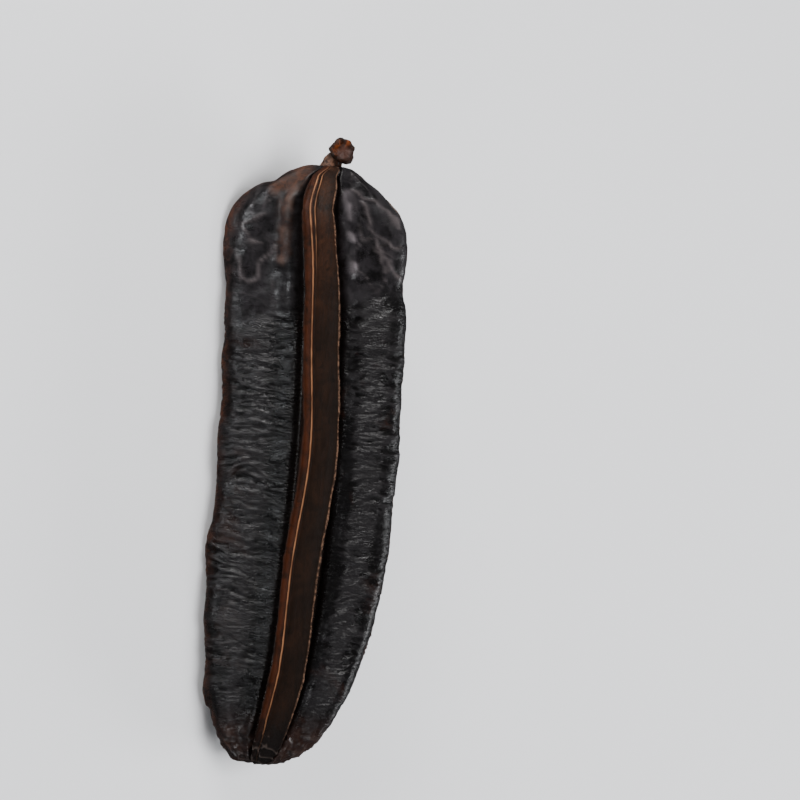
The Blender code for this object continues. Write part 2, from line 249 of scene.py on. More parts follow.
def cloud_noise(seed, points, grain):
    """A smooth random value at each point of space, between -1 and 1. Its grain is one or three lengths."""
    place = (points - points.min((0, 1))) / np.asarray(grain)
    low = place.astype(int)
    part = ease(place - low)
    draws = np.random.default_rng(seed).uniform(-1, 1, tuple(low.max((0, 1)) + 2))
    total = np.zeros(points.shape[:-1])
    for corner in range(8):
        step = np.array((corner & 1, corner >> 1 & 1, corner >> 2 & 1))
        weight = np.where(step == 1, part, 1 - part).prod(-1)
        i, j, k = np.moveaxis(low + step, -1, 0)
        total += weight * draws[i, j, k]
    return total


print("a random line:", np.round(line_noise(1, 4, np.linspace(0, 1, 5)), 2))

# %% [markdown]
# ## The outline of the pod
# Two curves say how far the fleshy and the woody wings reach from the axis: full along the middle, rounded
# like part of an ellipse at the stalk, and more slowly narrowed to the blunt end. The sections stand at
# uneven distances, because each is the top of a wrinkle or the furrow beside it.


# %% Reach of the wings and places of the sections
def reaches(from_blunt):
    """How far the fleshy and the woody wings reach from the axis, at a distance from the blunt end."""
    from_top = np.clip(BODY_LENGTH - from_blunt, 0, None)
    blunt = 1 - np.clip(from_blunt / BLUNT_TAPER, 0, 1)
    top = 1 - np.clip(from_top / SHOULDER_DEPTH, 0, 1)
    round_off = np.maximum(np.sqrt(1 - top**SHOULDER_POWER), LEAST_SHARE)
    fleshy = FLESHY_REACH * (1 - blunt**2) ** BLUNT_POWER * round_off
    blunt = 1 - np.clip(from_blunt / WOODY_TAPER, 0, 1)
    top = 1 - np.clip(from_top / WOODY_SHOULDER_DEPTH, 0, 1)
    round_off = np.maximum(np.sqrt(1 - top**SHOULDER_POWER), LEAST_SHARE)
    woody = WOODY_REACH * (1 - blunt**2) ** BLUNT_POWER * round_off
    return fleshy, woody


def stations():
    """Distances of the sections from the blunt end. Wrinkle tops and furrows lie on them by turns."""
    blunt = BLUNT_LENGTH * (np.arange(1, BLUNT_RINGS + 1) / BLUNT_RINGS) ** BLUNT_SPREAD
    length = BODY_LENGTH - SHOULDER_DEPTH - BLUNT_LENGTH
    count = round(length / WRINKLE_STEP)
    steps = np.random.default_rng(SEED).uniform(*STEP_RANGE, count)
    middle = BLUNT_LENGTH + length * np.cumsum(steps) / steps.sum()
    angle = np.linspace(math.pi / 2, 0, SHOULDER_RINGS + 1)[1:]
    shoulder = BODY_LENGTH - SHOULDER_DEPTH * (1 - np.cos(angle))
    return np.concatenate([blunt, middle, shoulder])


def half_width(face, from_top):
    """The width of a quarter's half of the band, as a share of the mean half."""
    top, body = HALVES[face]
    return top + (body - top) * rise(from_top, WIDEN_FROM, WIDEN_OVER)


def section(fleshy, woody, wide):
    """A quarter of a section with these reaches: lengths along the fleshy and along the woody wing."""
    small = np.tanh(fleshy / SECTION_EASE) / math.tanh(FLESHY_REACH / SECTION_EASE)
    low = np.tanh(woody / WOODY_EASE) / math.tanh(WOODY_REACH / WOODY_EASE)
    band = BAND_HALF * small * wide
    groove_out = GROOVE_OUT * small * wide
    groove_up = GROOVE_UP * low
    out = [band * share for share in BAND_OUT]
    up = [woody - drop * low * small for drop in BAND_DROP]
    up += [up[-1] + (groove_up - up[-1]) * share for share in SIDE_DROP]
    for share, height in zip(FLESH_OUT, FLESH_UP):
        out.append(groove_out + (fleshy - groove_out) * share)
        up.append(FLESH_HALF * low * height)
    return np.stack(out, -1), np.stack(up, -1)


print("sections along the body:", len(stations()))

# %% [markdown]
# ## The body as a stack of sections
# A section is a cross with four arms. It is drawn as one quarter, from the seam of a woody band to the rim
# of a fleshy wing, and mirrored. Each quarter then gets its own wrinkles, dents and sway, so no two are
# alike. Points hold the way along the pod, to its right and to its front.


# %% Plain sections
PLACES = stations()
REACHES = reaches(PLACES)
AROUND = np.arange(4 * QUARTER)
FACE = AROUND // QUARTER
ROW = np.where(FACE % 2 == 0, QUARTER - AROUND % QUARTER, AROUND % QUARTER)
TO_RIGHT = np.where((FACE == 0) | (FACE == 3), 1.0, -1.0)
TO_FRONT = np.where(FACE < 2, 1.0, -1.0)


def plain_rings():
    """The sections without relief: how far each point lies to the right and to the front."""
    right = np.empty((len(PLACES), 4 * QUARTER))
    front = np.empty_like(right)
    for face in range(4):
        out, up = section(*REACHES, half_width(face, BODY_LENGTH - PLACES))
        here = FACE == face
        right[:, here] = out[:, ROW[here]]
        front[:, here] = up[:, ROW[here]]
    return right * TO_RIGHT, front * TO_FRONT


def square_to_line(right, front):
    """The direction square to the line of each section, to the right and to the front."""
    run_right = np.roll(right, -1, 1) - np.roll(right, 1, 1)
    run_front = np.roll(front, -1, 1) - np.roll(front, 1, 1)
    run = np.hypot(run_right, run_front) + 1e-9
    return run_front / run, -run_right / run


# %% Wrinkles, dents and creases of the flesh
def wrinkle_strength(face, outward):
    """How strong the wrinkles of a face are, by chance and by their place on the section."""
    strength = np.empty_like(outward)
    for i in range(len(PLACES)):
        chance = line_noise(SEED + FACE_SEEDS * face + i, STRENGTH_KNOTS, outward[i])
        strength[i] = WRINKLE_MEAN + WRINKLE_SPREAD * chance
    return np.clip(strength, 0, WRINKLE_MOST) * np.array(WRINKLE_SHOWS)[ROW]


def flesh_relief(share, outward):
    """How much each point is raised, and how far it strays along the pod."""
    from_top = BODY_LENGTH - PLACES
    on_flesh = np.clip((ROW - FOLD_ROW) / 2, 0, 1)[None, :]
    wrinkled = rise(from_top, WRINKLES_FROM, WRINKLES_FADE) * ease(PLACES / BLUNT_FADE)
    shoulder = 1 - rise(from_top, SHOULDER_TO, SHOULDER_FADE)
    full_grown = np.clip(REACHES[0] / FLESHY_REACH, 0, 1)
    dented = (1 + shoulder) / 2 * full_grown
    creased = (1 - rise(from_top, CREASE_TO, WRINKLES_FADE)) * ease(from_top / CREASE_FROM)
    margin = (MARGIN * shoulder * full_grown)[:, None]
    relief = margin * ((ROW == QUARTER - 2) - MARGIN_FURROW * (ROW == QUARTER - 1))[None, :]
    wander = np.zeros_like(share)
    beat = math.pi * np.arange(len(PLACES))[:, None]
    for face in range(4):
        here = (FACE == face)[None, :]
        slip = WRINKLE_SLIP * field_noise(SLIP_SEED + face, *SLIP_KNOTS, share, outward)
        strength = wrinkle_strength(face, outward)
        wrinkle = WRINKLE * np.cos(beat + math.pi * slip) * strength * wrinkled[:, None]
        dent = DENT * field_noise(DENT_SEED + face, *DENT_KNOTS, share, outward) * dented[:, None]
        fan = CREASE_AT + CREASE_SPREAD * np.clip(from_top / CREASE_REACH, 0, 1)[:, None]
        crease = -CREASE * hill(outward, fan, CREASE_WIDTH) * creased[:, None]
        relief += np.where(here, wrinkle + (dent + crease) * on_flesh, 0)
        drift = WRINKLE_WANDER * field_noise(DRIFT_SEED + face, *DRIFT_KNOTS, share, outward)
        wander += np.where(here, drift * wrinkled[:, None] * on_flesh, 0)
    return relief, wander


# %% Wavy rims and lips
def sway_wings(share, outward, front, relief):
    """The rims are wavy, one shoulder bulges, and no wing is quite flat."""
    rim = np.clip((outward - RIM_FROM) / (1 - RIM_FROM), 0, 1)
    for side, seed in ((1.0, RIM_SEED), (-1.0, RIM_SEED + 1)):
        here = TO_RIGHT[None, :] == side
        relief += np.where(here, RIM_WAVE * line_noise(seed, RIM_KNOTS, share) * rim, 0)
        sway = WING_SWAY * line_noise(seed + SECOND_DRAW, WING_KNOTS, share) * outward**WING_CURL
        front = front + np.where(here, sway, 0) * ease(REACHES[0] / FLESHY_REACH)[:, None]
    bulge = BULGE * hill(BODY_LENGTH - PLACES, BULGE_AT, BULGE_WIDTH)[:, None] * rim
    relief += np.where(TO_RIGHT[None, :] > 0, bulge, 0)
    return front, relief


def sway_bands(share, right, front, relief):
    """The bands wander a little to the sides, and their lips are wavy."""
    high = np.clip(np.abs(front) / WOODY_REACH, 0, 1)
    for side, seed in ((1.0, BAND_SEED), (-1.0, BAND_SEED + 1)):
        here = TO_FRONT[None, :] == side
        right = right + np.where(here, BAND_SWAY * line_noise(seed, BAND_KNOTS, share) * high**2, 0)
        lip = LIP_WAVE * line_noise(seed + SECOND_DRAW, LIP_KNOTS, share) * np.isin(ROW, LIP_ROWS)[None, :]
        relief += np.where(here, lip, 0) * (REACHES[1] / WOODY_REACH)[:, None]
    return right, relief


# %% Rings of the body
def body_rings():
    """The sections of the body: points as along, right and front, one ring to a station."""
    right, front = plain_rings()
    normal_right, normal_front = square_to_line(right, front)
    share = (PLACES / BODY_LENGTH)[:, None] + 0 * right
    outward = np.clip(np.abs(right) / (REACHES[0][:, None] + 1e-9), 0, 1)
    relief, wander = flesh_relief(share, outward)
    front, relief = sway_wings(share, outward, front, relief)
    right, relief = sway_bands(share, right, front, relief)
    right = right + normal_right * relief
    front = front + normal_front * relief

    # Near the shoulder's top the section grows round and takes the thickness of the stalk.
    from_top = BODY_LENGTH - PLACES
    far = np.hypot(right, front) + 1e-9
    blend = 1 - ease(from_top / STALK_BLEND)[:, None]
    full = (far**3 + (blend * STALK_BASE) ** 3) ** (1 / 3)
    even = math.tau * AROUND / (4 * QUARTER)
    rounded = 1 - ease(from_top / ROUND_OVER)[:, None]
    right = right * full / far * (1 - rounded) + full * np.cos(even) * rounded
    front = front * full / far * (1 - rounded) + full * np.sin(even) * rounded

    middle = BOW * 4 * share * (1 - share)
    lean = STALK_SHIFT * (1 - ease(from_top / STALK_LEAN)) + STALK_STEP * (1 - ease(from_top / STEP_OVER))
    return np.stack([PLACES[:, None] + wander, right + middle + lean[:, None], front], -1)


BODY_RINGS = body_rings()
print("rings of the body:", len(BODY_RINGS))


# %% Rings of the stalk
def on_stalk(share):
    """A point of the stalk's middle line, and the way the line runs there."""
    back = 1 - share
    weights = (back**3, 3 * share * back**2, 3 * share**2 * back, share**3)
    slopes = (-3 * back**2, 3 * back * (1 - 3 * share), 3 * share * (2 - 3 * share), 3 * share**2)
    line = np.array(STALK_LINE)
    ahead = np.dot(slopes, line)
    return np.dot(weights, line) + (BODY_LENGTH, 0, 0), ahead / np.linalg.norm(ahead)


def stalk_rings():
    """The rings of the stalk along its line, their points in step with the shoulder's last ring."""
    angle = math.tau * np.arange(4 * QUARTER) / (4 * QUARTER)
    rings = []
    for share, radius in STALK_STOPS:
        middle, ahead = on_stalk(share)
        to_front = np.array((0.0, 0.0, 1.0))
        to_front = to_front - ahead * np.dot(to_front, ahead)
        to_front = to_front / np.linalg.norm(to_front)
        to_right = np.cross(to_front, ahead)
        knob = rise(share, KNOB_FROM, KNOB_FADE)
        rough = 1 + KNOB_ROUGH * knob * np.sin(4 * angle + 1)
        for waves, height, twist in STALK_RIBS:
            rough = rough + height * np.sin(waves * angle + twist * share)
        out = (radius * rough)[:, None]
        ring = middle + out * (np.cos(angle)[:, None] * to_right + np.sin(angle)[:, None] * to_front)
        torn = BREAK * (share > BREAK_FROM) * (np.sin(2 * angle + 0.6) + 0.5 * np.sin(5 * angle))
        rings.append(ring + torn[:, None] * ahead)
    return np.array(rings), middle + TIP_OUT * ahead


STALK_RINGS, TIP = stalk_rings()
RINGS = np.concatenate([BODY_RINGS, STALK_RINGS])
BLUNT = BODY_RINGS[0].mean(0)
BLUNT[0] = 0.0
print("rings and points in each:", RINGS.shape[:2])

# %% [markdown]
# ## How the pod lies
# A pod with four wings comes to rest on two of them, with its weight as low as it can be. The turn is found
# by trying small rolls and pitches of the coarse pod, exactly as the construction does, and the fine pod is
# then turned and moved by the same amounts.


# %% Find the lie
def turned(points, roll, pitch):
    """The pod's own axes laid into the world: the stalk end points to -X and the front looks up."""
    laid = np.stack([BODY_LENGTH / 2 - points[..., 0], points[..., 1], points[..., 2]], -1)
    x, y, z = laid[..., 0], laid[..., 1], laid[..., 2]
    c, s = math.cos(roll), math.sin(roll)
    y, z = c * y - s * z, s * y + c * z
    c, s = math.cos(pitch), math.sin(pitch)
    return np.stack([c * x + s * z, y, c * z - s * x], -1)


def faces_of(rings, points):
    """Four-sided faces between neighbouring rings, and fans of triangles at the two ends."""
    faces = []
    for i in range(rings - 1):
        for j in range(points):
            k = (j + 1) % points
            a = i * points
            b = a + points
            faces.append((a + j, b + j, b + k, a + k))
    blunt = rings * points
    last = (rings - 1) * points
    for j in range(points):
        k = (j + 1) % points
        faces.append((blunt, j, k))
        faces.append((blunt + 1, last + k, last + j))
    return faces


def middle_of_volume(points, faces):
    """The centre of the space that the faces enclose."""
    total = 0.0
    centre = np.zeros(3)
    for face in faces:
        for k in range(1, len(face) - 1):
            a, b, c = points[face[0]], points[face[k]], points[face[k + 1]]
            volume = np.dot(a, np.cross(b, c)) / 6
            total += volume
            centre += volume * (a + b + c) / 4
    return centre / total


def lowest_lie(points, faces):
    """The turn at which the pod's weight lies as low as it can near the first roll."""
    weight = middle_of_volume(points, faces)[None, :]
    best = (FIRST_ROLL, 0.0)
    for reach in TRY_REACHES:
        tries = []
        for roll in np.linspace(best[0] - reach, best[0] + reach, TRIES):
            for pitch in np.linspace(best[1] - reach, best[1] + reach, TRIES):
                height = turned(weight, roll, pitch)[0, 2] - turned(points, roll, pitch)[:, 2].min()
                tries.append((height, roll, pitch))
        best = min(tries)[1:]
    return best


COARSE = np.concatenate([RINGS.reshape(-1, 3), BLUNT[None], TIP[None]])
ROLL, PITCH = lowest_lie(COARSE, faces_of(*RINGS.shape[:2]))
LAID = turned(COARSE, ROLL, PITCH)
SHIFT = np.array((
    -(LAID[:, 0].min() + LAID[:, 0].max()) / 2,
    -(LAID[:, 1].min() + LAID[:, 1].max()) / 2,
    -LAID[:, 2].min() - SINK,
))


def set_down(points):
    """The pod's points in the world, before its rims are worn flat on the ground."""
    return turned(points, ROLL, PITCH) + SHIFT


def direction(along, right, front):
    """A direction of the pod in the world."""
    ends = set_down(np.array(((0, 0, 0), (along, right, front))))
    return Vector(ends[1] - ends[0]).normalized()


ALONG = direction(1, 0, 0)
RIGHT = direction(0, 1, 0)
FRONT = direction(0, 0, 1)
print("the front band faces up by", round(math.degrees(math.asin(FRONT.z)), 1), "degrees")

# %% [markdown]
# ## A finer grid through the same rings
# A subdivision modifier would do, but it pulls the surface in from its points and would leave the solid's
# form. A curve that passes through every point keeps it. So each ring and each line along the pod is drawn
# again as such a curve, with more points where there is more to show: at the seam and over the wrinkles.


# %% Draw the finer grid
def curve_weights(knots, places, closed):
    """A table that turns numbered knots into points of a smooth curve through them, at these places."""
    low = np.floor(places).astype(int)
    if not closed:
        low = np.clip(low, 0, knots - 2)
    t = places - low
    pulls = (
        -0.5 * t + t**2 - 0.5 * t**3,
        1 - 2.5 * t**2 + 1.5 * t**3,
        0.5 * t + 2 * t**2 - 1.5 * t**3,
        -0.5 * t**2 + 0.5 * t**3,
    )
    table = np.zeros((len(places), knots))
    for k, pull in enumerate(pulls):
        index = low - 1 + k
        index = index % knots if closed else np.clip(index, 0, knots - 1)
        np.add.at(table, (np.arange(len(places)), index), pull)
    return table


def split(counts):
    """Places between numbered knots: each gap is cut into its own count of steps."""
    return np.concatenate([start + np.arange(count) / count for start, count in enumerate(counts)])


BODY_COUNT = len(BODY_RINGS)
BLUNT_CUTS = 6
BODY_CUTS = 5
RING_CUTS = [BLUNT_CUTS] * (BLUNT_RINGS - 1) + [BODY_CUTS] * (len(RINGS) - BLUNT_RINGS)
QUARTER_CUTS = [8, 3, 3, 3, 3, 2, 3, 3, 3, 3, 4, 4, 3, 3, 3]
RING_PLACE = np.append(split(RING_CUTS), len(RINGS) - 1)
AROUND_PLACE = split(2 * (QUARTER_CUTS[::-1] + QUARTER_CUTS))
ALONG_TABLE = curve_weights(len(RINGS), RING_PLACE, False)
AROUND_TABLE = curve_weights(4 * QUARTER, AROUND_PLACE, True)


def finer(rings):
    """The rings drawn again with more points along and around."""
    return np.einsum("bj,ajk->abk", AROUND_TABLE, np.einsum("ai,ijk->ajk", ALONG_TABLE, rings))


# %% [markdown]
# ## Calm the solid's folds
# The solid has few rings, so its folds are broad. They could be given up, but their rhythm is right. So the
# grid is drawn a second time through rings that are each averaged with their neighbours, and the pod lies
# most of the way towards it. Finer folds take their place, from a line that slants over each wing.

# %% Blend towards the calm rings
FOLDS_FROM = 44 * MM
FOLDS_SLANT = 0.28
FOLDS_LEAD = 3 * MM
MOST_CALM = 0.85
LESS_CALM = 0.22
CALM_FADE = 8 * MM
CALM_FROM_TOP = (20 * MM, 8 * MM)
CALM_FROM_BLUNT = (14 * MM, 12 * MM)

calm = RINGS.copy()
calm[1:-1] = (RINGS[:-2] + 2 * RINGS[1:-1] + RINGS[2:]) / 4
FINE = finer(RINGS)
down = BODY_LENGTH - FINE[..., 0]
aside = np.where(FINE[..., 2] > 0, 1, -1) * (FINE[..., 1] - BOW)
folds_from = FOLDS_FROM - FOLDS_SLANT * aside
calmed = MOST_CALM - LESS_CALM * ease((down - folds_from + FOLDS_LEAD) / CALM_FADE)
calmed = calmed * rise(down, *CALM_FROM_TOP) * rise(FINE[..., 0], *CALM_FROM_BLUNT)
FINE = FINE + calmed[..., None] * (finer(calm) - FINE)
print("fine grid:", FINE.shape[:2], "triangles:", 2 * FINE.shape[0] * FINE.shape[1])

# %% [markdown]
# ## Where each point is on the pod
# The small relief and the colours both ask the same questions: how far from the seam, from the rim, from the
# stalk? They are answered once here, for every point of the fine grid. `row` counts the steps of a quarter
# section, from 0 at the seam to 15 at the rim of the fleshy wing, as in the coarse rings.

# %% Maps over the pod
# Where each part begins or ends, and over how far it fades: in rows, in rings, and along the pod.
FLESH_FROM = (7.6, 1.4)
FACE_FROM = (8.2, 1.4)
BAND_TO = (4.0, 0.7)
FLANK_FROM = (4.2, 0.6)
FLANK_TO = (6.8, 0.8)
STEM_FROM = (BODY_COUNT - 2.5, 2.5)
FOLDS_FADE = 7 * MM
BLUNT_FOLDS_FROM = (4 * MM, 16 * MM)
SHOULDER_VEINS_TO = (34 * MM, 22 * MM)
BLUNT_FANS_TO = (8 * MM, 26 * MM)

quarter = (AROUND_PLACE // QUARTER).astype(int)
step = AROUND_PLACE % QUARTER
row = np.where(quarter % 2 == 0, QUARTER - step, step)[None, :] + 0 * down
quarter = quarter[None, :] + 0 * down.astype(int)
ring_place = RING_PLACE[:, None] + 0 * down
from_blunt = np.clip(FINE[..., 0], 0, BODY_LENGTH)
from_top = BODY_LENGTH - from_blunt
share = from_blunt / BODY_LENGTH
fleshy_reach = reaches(from_blunt)[0]
off_axis = FINE[..., 1] - BOW * 4 * share * (1 - share) - STALK_SHIFT * (1 - ease(from_top / STALK_LEAN))
off_axis = off_axis - STALK_STEP * (1 - ease(from_top / STEP_OVER))
outward = np.clip(np.abs(off_axis) / fleshy_reach, 0, 1)

on_stem = rise(ring_place, *STEM_FROM)
on_body = 1 - on_stem
on_flesh = rise(row, *FLESH_FROM) * on_body
on_face = rise(row, *FACE_FROM) * on_body
on_band = (1 - rise(row, *BAND_TO)) * on_body
on_flank = rise(row, *FLANK_FROM) * (1 - rise(row, *FLANK_TO)) * on_body
wrinkled = ease((from_top - folds_from + FOLDS_LEAD) / FOLDS_FADE) * rise(from_blunt, *BLUNT_FOLDS_FROM)
shoulder = 1 - rise(from_top, *SHOULDER_VEINS_TO)
blunt_end = 1 - rise(from_blunt, *BLUNT_FANS_TO)
left_side = np.isin(quarter, (1, 2))
print("share of points on the fleshy wings:", round(float(on_flesh.mean()), 2))

# %% [markdown]
# ## The small relief
# Up close the black skin is full of folds that the coarse rings are too wide for. It looks like leather that
# has dried on a net: shallow cells with a raised crease between them. So each face of a wing is strewn with
# random points, and every place belongs to the nearest one; where two are equally near, there is a crease.
# Cells that are short along the pod and long across it give the wrinkles. Wide ones give the shoulder its
# few vein-like creases, and cells stretched the other way run to the tip at the blunt end.


# %% Cells and creases
def cells(seed, along, across, size):
    """Cells round random points: how far each place is from its cell's border, and a value of the cell."""
    place = np.stack([along / size[0], across / size[1]], -1)
    low = np.floor(place).astype(int)
    first = low.min((0, 1)) - 1
    draws = np.random.default_rng(seed).uniform(0, 1, (*(low.max((0, 1)) - first + 2), 3))
    near = np.full(along.shape, np.inf)
    second = near.copy()
    value = np.zeros(along.shape)
    for i in (-1, 0, 1):
        for j in (-1, 0, 1):
            index = low + (i, j) - first
            draw = draws[index[..., 0], index[..., 1]]
            gap = np.linalg.norm(low + (i, j) + draw[..., :2] - place, axis=-1)
            second = np.where(gap < near, near, np.minimum(second, gap))
            value = np.where(gap < near, draw[..., 2], value)
            near = np.minimum(near, gap)
    return second - near, 2 * value - 1


# %% Folds, veins and beads on the wings
FOLD_CELL = (2.2 * MM, 5.6 * MM)
SMALL_FOLD_CELL = (1.15 * MM, 3.4 * MM)
VEIN_CELL = (17 * MM, 11 * MM)
FAN_CELL = (16 * MM, 2.6 * MM)
FOLD_GAIN = 1.15
FOLD = 0.66 * MM
PILLOW = 0.24 * MM
SMALL_FOLD = 0.15 * MM
VEIN = 0.14 * MM
FACET = 0.24 * MM
FAN = 0.22 * MM
BEAD = 0.24 * MM
WARP = 1.5 * MM
QUIET_GRAIN = (7 * MM, 9 * MM, 9 * MM)
THIN_FROM_ROW = (14.2, 0.8)
BEAD_ROW = (9.0, 0.9)
FOLD_CREST = 0.22
SMALL_CREST = 0.40
VEIN_CREST = 0.045
FAN_CREST = 0.30

relief = np.zeros_like(share)
vein_map = np.zeros_like(share)
quiet = ease(0.5 + 1.6 * cloud_noise(SEED + 126, FINE, QUIET_GRAIN)) * wrinkled
for face in range(4):
    side = outward * FLESHY_REACH
    warp = WARP * field_noise(SEED + 60 + face, 60, 4, share, outward)
    patchy = 0.15 + 1.05 * ease(0.5 + 0.9 * field_noise(SEED + 64 + face, 22, 3, share, outward))
    border, value = cells(SEED + 68 + face, from_blunt + warp, side + 1.3 * warp, FOLD_CELL)
    folds = FOLD * patchy * (hill(border, 0, FOLD_CREST) - 0.3) + PILLOW * value * ease(border / 0.5)
    border, value = cells(SEED + 72 + face, from_blunt - warp, side, SMALL_FOLD_CELL)
    folds = folds + SMALL_FOLD * patchy * (hill(border, 0, SMALL_CREST) - 0.4)
    thin_at_rim = 1 - 0.7 * rise(row, *THIN_FROM_ROW)
    raised = FOLD_GAIN * folds * wrinkled * on_face * thin_at_rim * (1 - 0.55 * quiet)

    slant = from_top - 0.5 * side + 2.2 * warp
    border, value = cells(SEED + 76 + face, slant, side + 0.25 * from_top, VEIN_CELL)
    fade = np.clip(0.45 + 0.55 * field_noise(SEED + 112 + face, 34, 5, share, outward), 0, 1)
    vein = hill(border, 0, VEIN_CREST) * fade * shoulder * on_face
    raised += VEIN * vein + FACET * value * ease(border / 0.40) * shoulder * on_face
    border, value = cells(SEED + 80 + face, from_blunt, side + warp, FAN_CELL)
    raised += FAN * (hill(border, 0, FAN_CREST) - 0.4) * blunt_end * on_face * ease(from_blunt / (3 * MM))
    bead = line_noise(SEED + 84 + face, 46, share) + 0.5 * line_noise(SEED + 88 + face, 110, share)
    raised += BEAD * bead * hill(row, *BEAD_ROW) * on_body
    relief += np.where(quarter == face, raised, 0)
    vein_map += np.where(quarter == face, vein, 0)

# %% Ridges beside the grooves, and the net at the blunt tip
RIDGE_CUT = 0.9 * MM
RIDGE_ROW = (8.9, 1.0)
BESIDE_ROW = (11.2, 1.0)
NET_HEIGHT = 0.45 * MM
NET_GRAIN = 2.3 * MM
NET_WIDTH = 0.14
NET_TO = (7 * MM, 13 * MM)

# Along the body the ridge beside the groove is lower than in the solid, and the wing beside it fuller.
ridge_cut = np.where(np.isin(quarter, (1, 3)), 1.0, 0.15) * hill(row, *RIDGE_ROW)
relief -= RIDGE_CUT * (ridge_cut - 0.5 * hill(row, *BESIDE_ROW)) * wrinkled * on_flesh

# The blunt tip is drawn together in a net of creases that runs over skin and band alike.
tip_net = 1 - rise(from_blunt, *NET_TO)
net = hill(cloud_noise(SEED + 124, FINE, NET_GRAIN), 0, NET_WIDTH) * tip_net
relief += NET_HEIGHT * (net - 0.25 * tip_net) * ease(from_blunt / (0.5 * MM))

# %% Soft pits and swellings
# Their height and grain in millimetres, their seed, and where they are. They take no notice of edges.
SWELLINGS = (
    (0.35, 3.2, 125, tip_net),
    (0.20, 6, 91, on_flesh),
    (0.07, 1.6, 92, on_flesh),
    (0.05, (5, 0.9, 0.9), 93, on_band),
    (0.07, 1.7, 129, on_band),
    (0.17, 2.5, 130, (1 - wrinkled) * on_flesh),
    (0.16, (3.5, 1.3, 1.3), 127, on_flank),
    (0.12, (1.0, 2.4, 2.4), 128, on_flank),
)
for height, grain, seed, where in SWELLINGS:
    relief += height * MM * cloud_noise(SEED + seed, FINE, np.multiply(grain, MM)) * where
print("relief of the wings in mm:", np.round(relief.min() / MM, 2), "to", np.round(relief.max() / MM, 2))

# %% [markdown]
# ## Creases drawn one by one
# The shoulders are smooth but for a few creases, each with a course of its own, and chance would never draw
# them. They are given as lines in millimetres: how far from the top, and how far to the right of the axis.
# The back is drawn with the same lines, seen from behind.

# %% Creases of the shoulders
# Each has a width and a height in millimetres. The two wide ones are the folds beside the groove, which also
# carry a painted highlight.
SHOULDER_CREASES = (
    (0.50, 0.50, ((20.1, -22.9), (18.3, -20.1), (16.4, -15.1))),
    (0.45, 0.34, ((20.7, -22.9), (25.4, -19.9), (25.7, -16.4))),
    (0.60, 0.42, ((30.9, -23.3), (36.2, -22.7), (38.1, -20.1), (36.7, -17.7), (31.3, -16.5))),
    (0.55, 0.32, ((31.3, -16.5), (29.2, -14.0), (26.0, -12.1))),
    (0.45, 0.46, ((7.5, 10.4), (8.8, 14.8), (10.2, 18.4), (13.7, 22.6), (17.9, 25.3))),
    (0.55, 0.52, ((9.9, 13.9), (13.1, 16.1), (20.7, 18.7), (26.1, 20.9), (31.6, 21.4))),
    (0.50, 0.34, ((20.7, 18.7), (22.2, 22.8), (23.5, 25.9))),
    (0.60, 0.36, ((25.3, 19.1), (28.1, 22.8), (33.3, 26.5))),
    (1.50, 0.95, ((6.9, -7.0), (10.1, -7.4), (13.2, -7.8), (19.5, -8.8), (30.8, -10.2))),
    (1.50, 0.95, ((8.4, 9.2), (14.5, 10.9), (22.2, 11.5), (32.0, 12.0))),
)
FOLD_HIGHLIGHT_WIDTH = 1.1


def from_line(stops, down, aside):
    """The distance of each place from a line through these stops."""
    nearest = np.full(down.shape, np.inf)
    for (a, b), (c, d) in zip(stops, stops[1:]):
        length = math.hypot(c - a, d - b)
        part = np.clip(((down - a) * (c - a) + (aside - b) * (d - b)) / length**2, 0, 1)
        nearest = np.minimum(nearest, np.hypot(down - a - part * (c - a), aside - b - part * (d - b)))
    return nearest


down_mm = from_top / MM
aside_mm = off_axis * np.where(quarter < 2, 1.0, -1.0) / MM
stray_down = 0.8 * cloud_noise(SEED + 120, FINE, 3.0 * MM)
stray_aside = 0.7 * cloud_noise(SEED + 121, FINE, 2.4 * MM)
ragged = 0.75 + 0.45 * cloud_noise(SEED + 122, FINE, 2.0 * MM)
broken = ease(0.62 + 0.9 * line_noise(SEED + 123, 60, share) + 0.35 * (ragged - 0.75))
crease_map = np.zeros_like(share)
fold_highlight_map = np.zeros_like(share)
for width, height, stops in SHOULDER_CREASES:
    away = from_line(stops, down_mm + stray_down, aside_mm + stray_aside)
    ridge = hill(away, 0, width) - 0.35 * hill(away, 0, 2.6 * width)
    relief += height * MM * ridge * ragged * on_flesh
    # Thin creases give the map of their painted highlight; the two wide folds give the map of a painted
    # highlight along them.
    if width < 1:
        crease_map = np.maximum(crease_map, hill(away, 0, width) * ragged)
    else:
        fold_highlight_map = np.maximum(fold_highlight_map, hill(away, 0, FOLD_HIGHLIGHT_WIDTH) * ragged * broken * on_flesh)
print("creases on each shoulder:", len(SHOULDER_CREASES))

# %% [markdown]
# ## Rims, seam and stalk
# The rims of the fleshy wings end in a fine keel. The seam of each band is where its two halves would part:
# two threads with a slit between them. Grooves could be cut by a boolean, but a grid that already has its
# points along the seam only needs them raised and lowered.

# %% Rims of the fleshy wings
NOTCH = 1.7 * MM
SWELL = 1.7 * MM
KEEL = 0.22 * MM
KEEL_ROW = (QUARTER, 0.35)
NOTCH_AT = (4.6 * MM, 1.7 * MM)
SWELL_AT = (14 * MM, 5.5 * MM)
RIM_FROM_ROW = (11, 3)
EDGE_HEIGHT = 0.4 * MM
EDGE_ROW = (13.1, 0.8)
EDGE_FURROW = 0.25 * MM
FURROW_ROW = (14.4, 0.5)

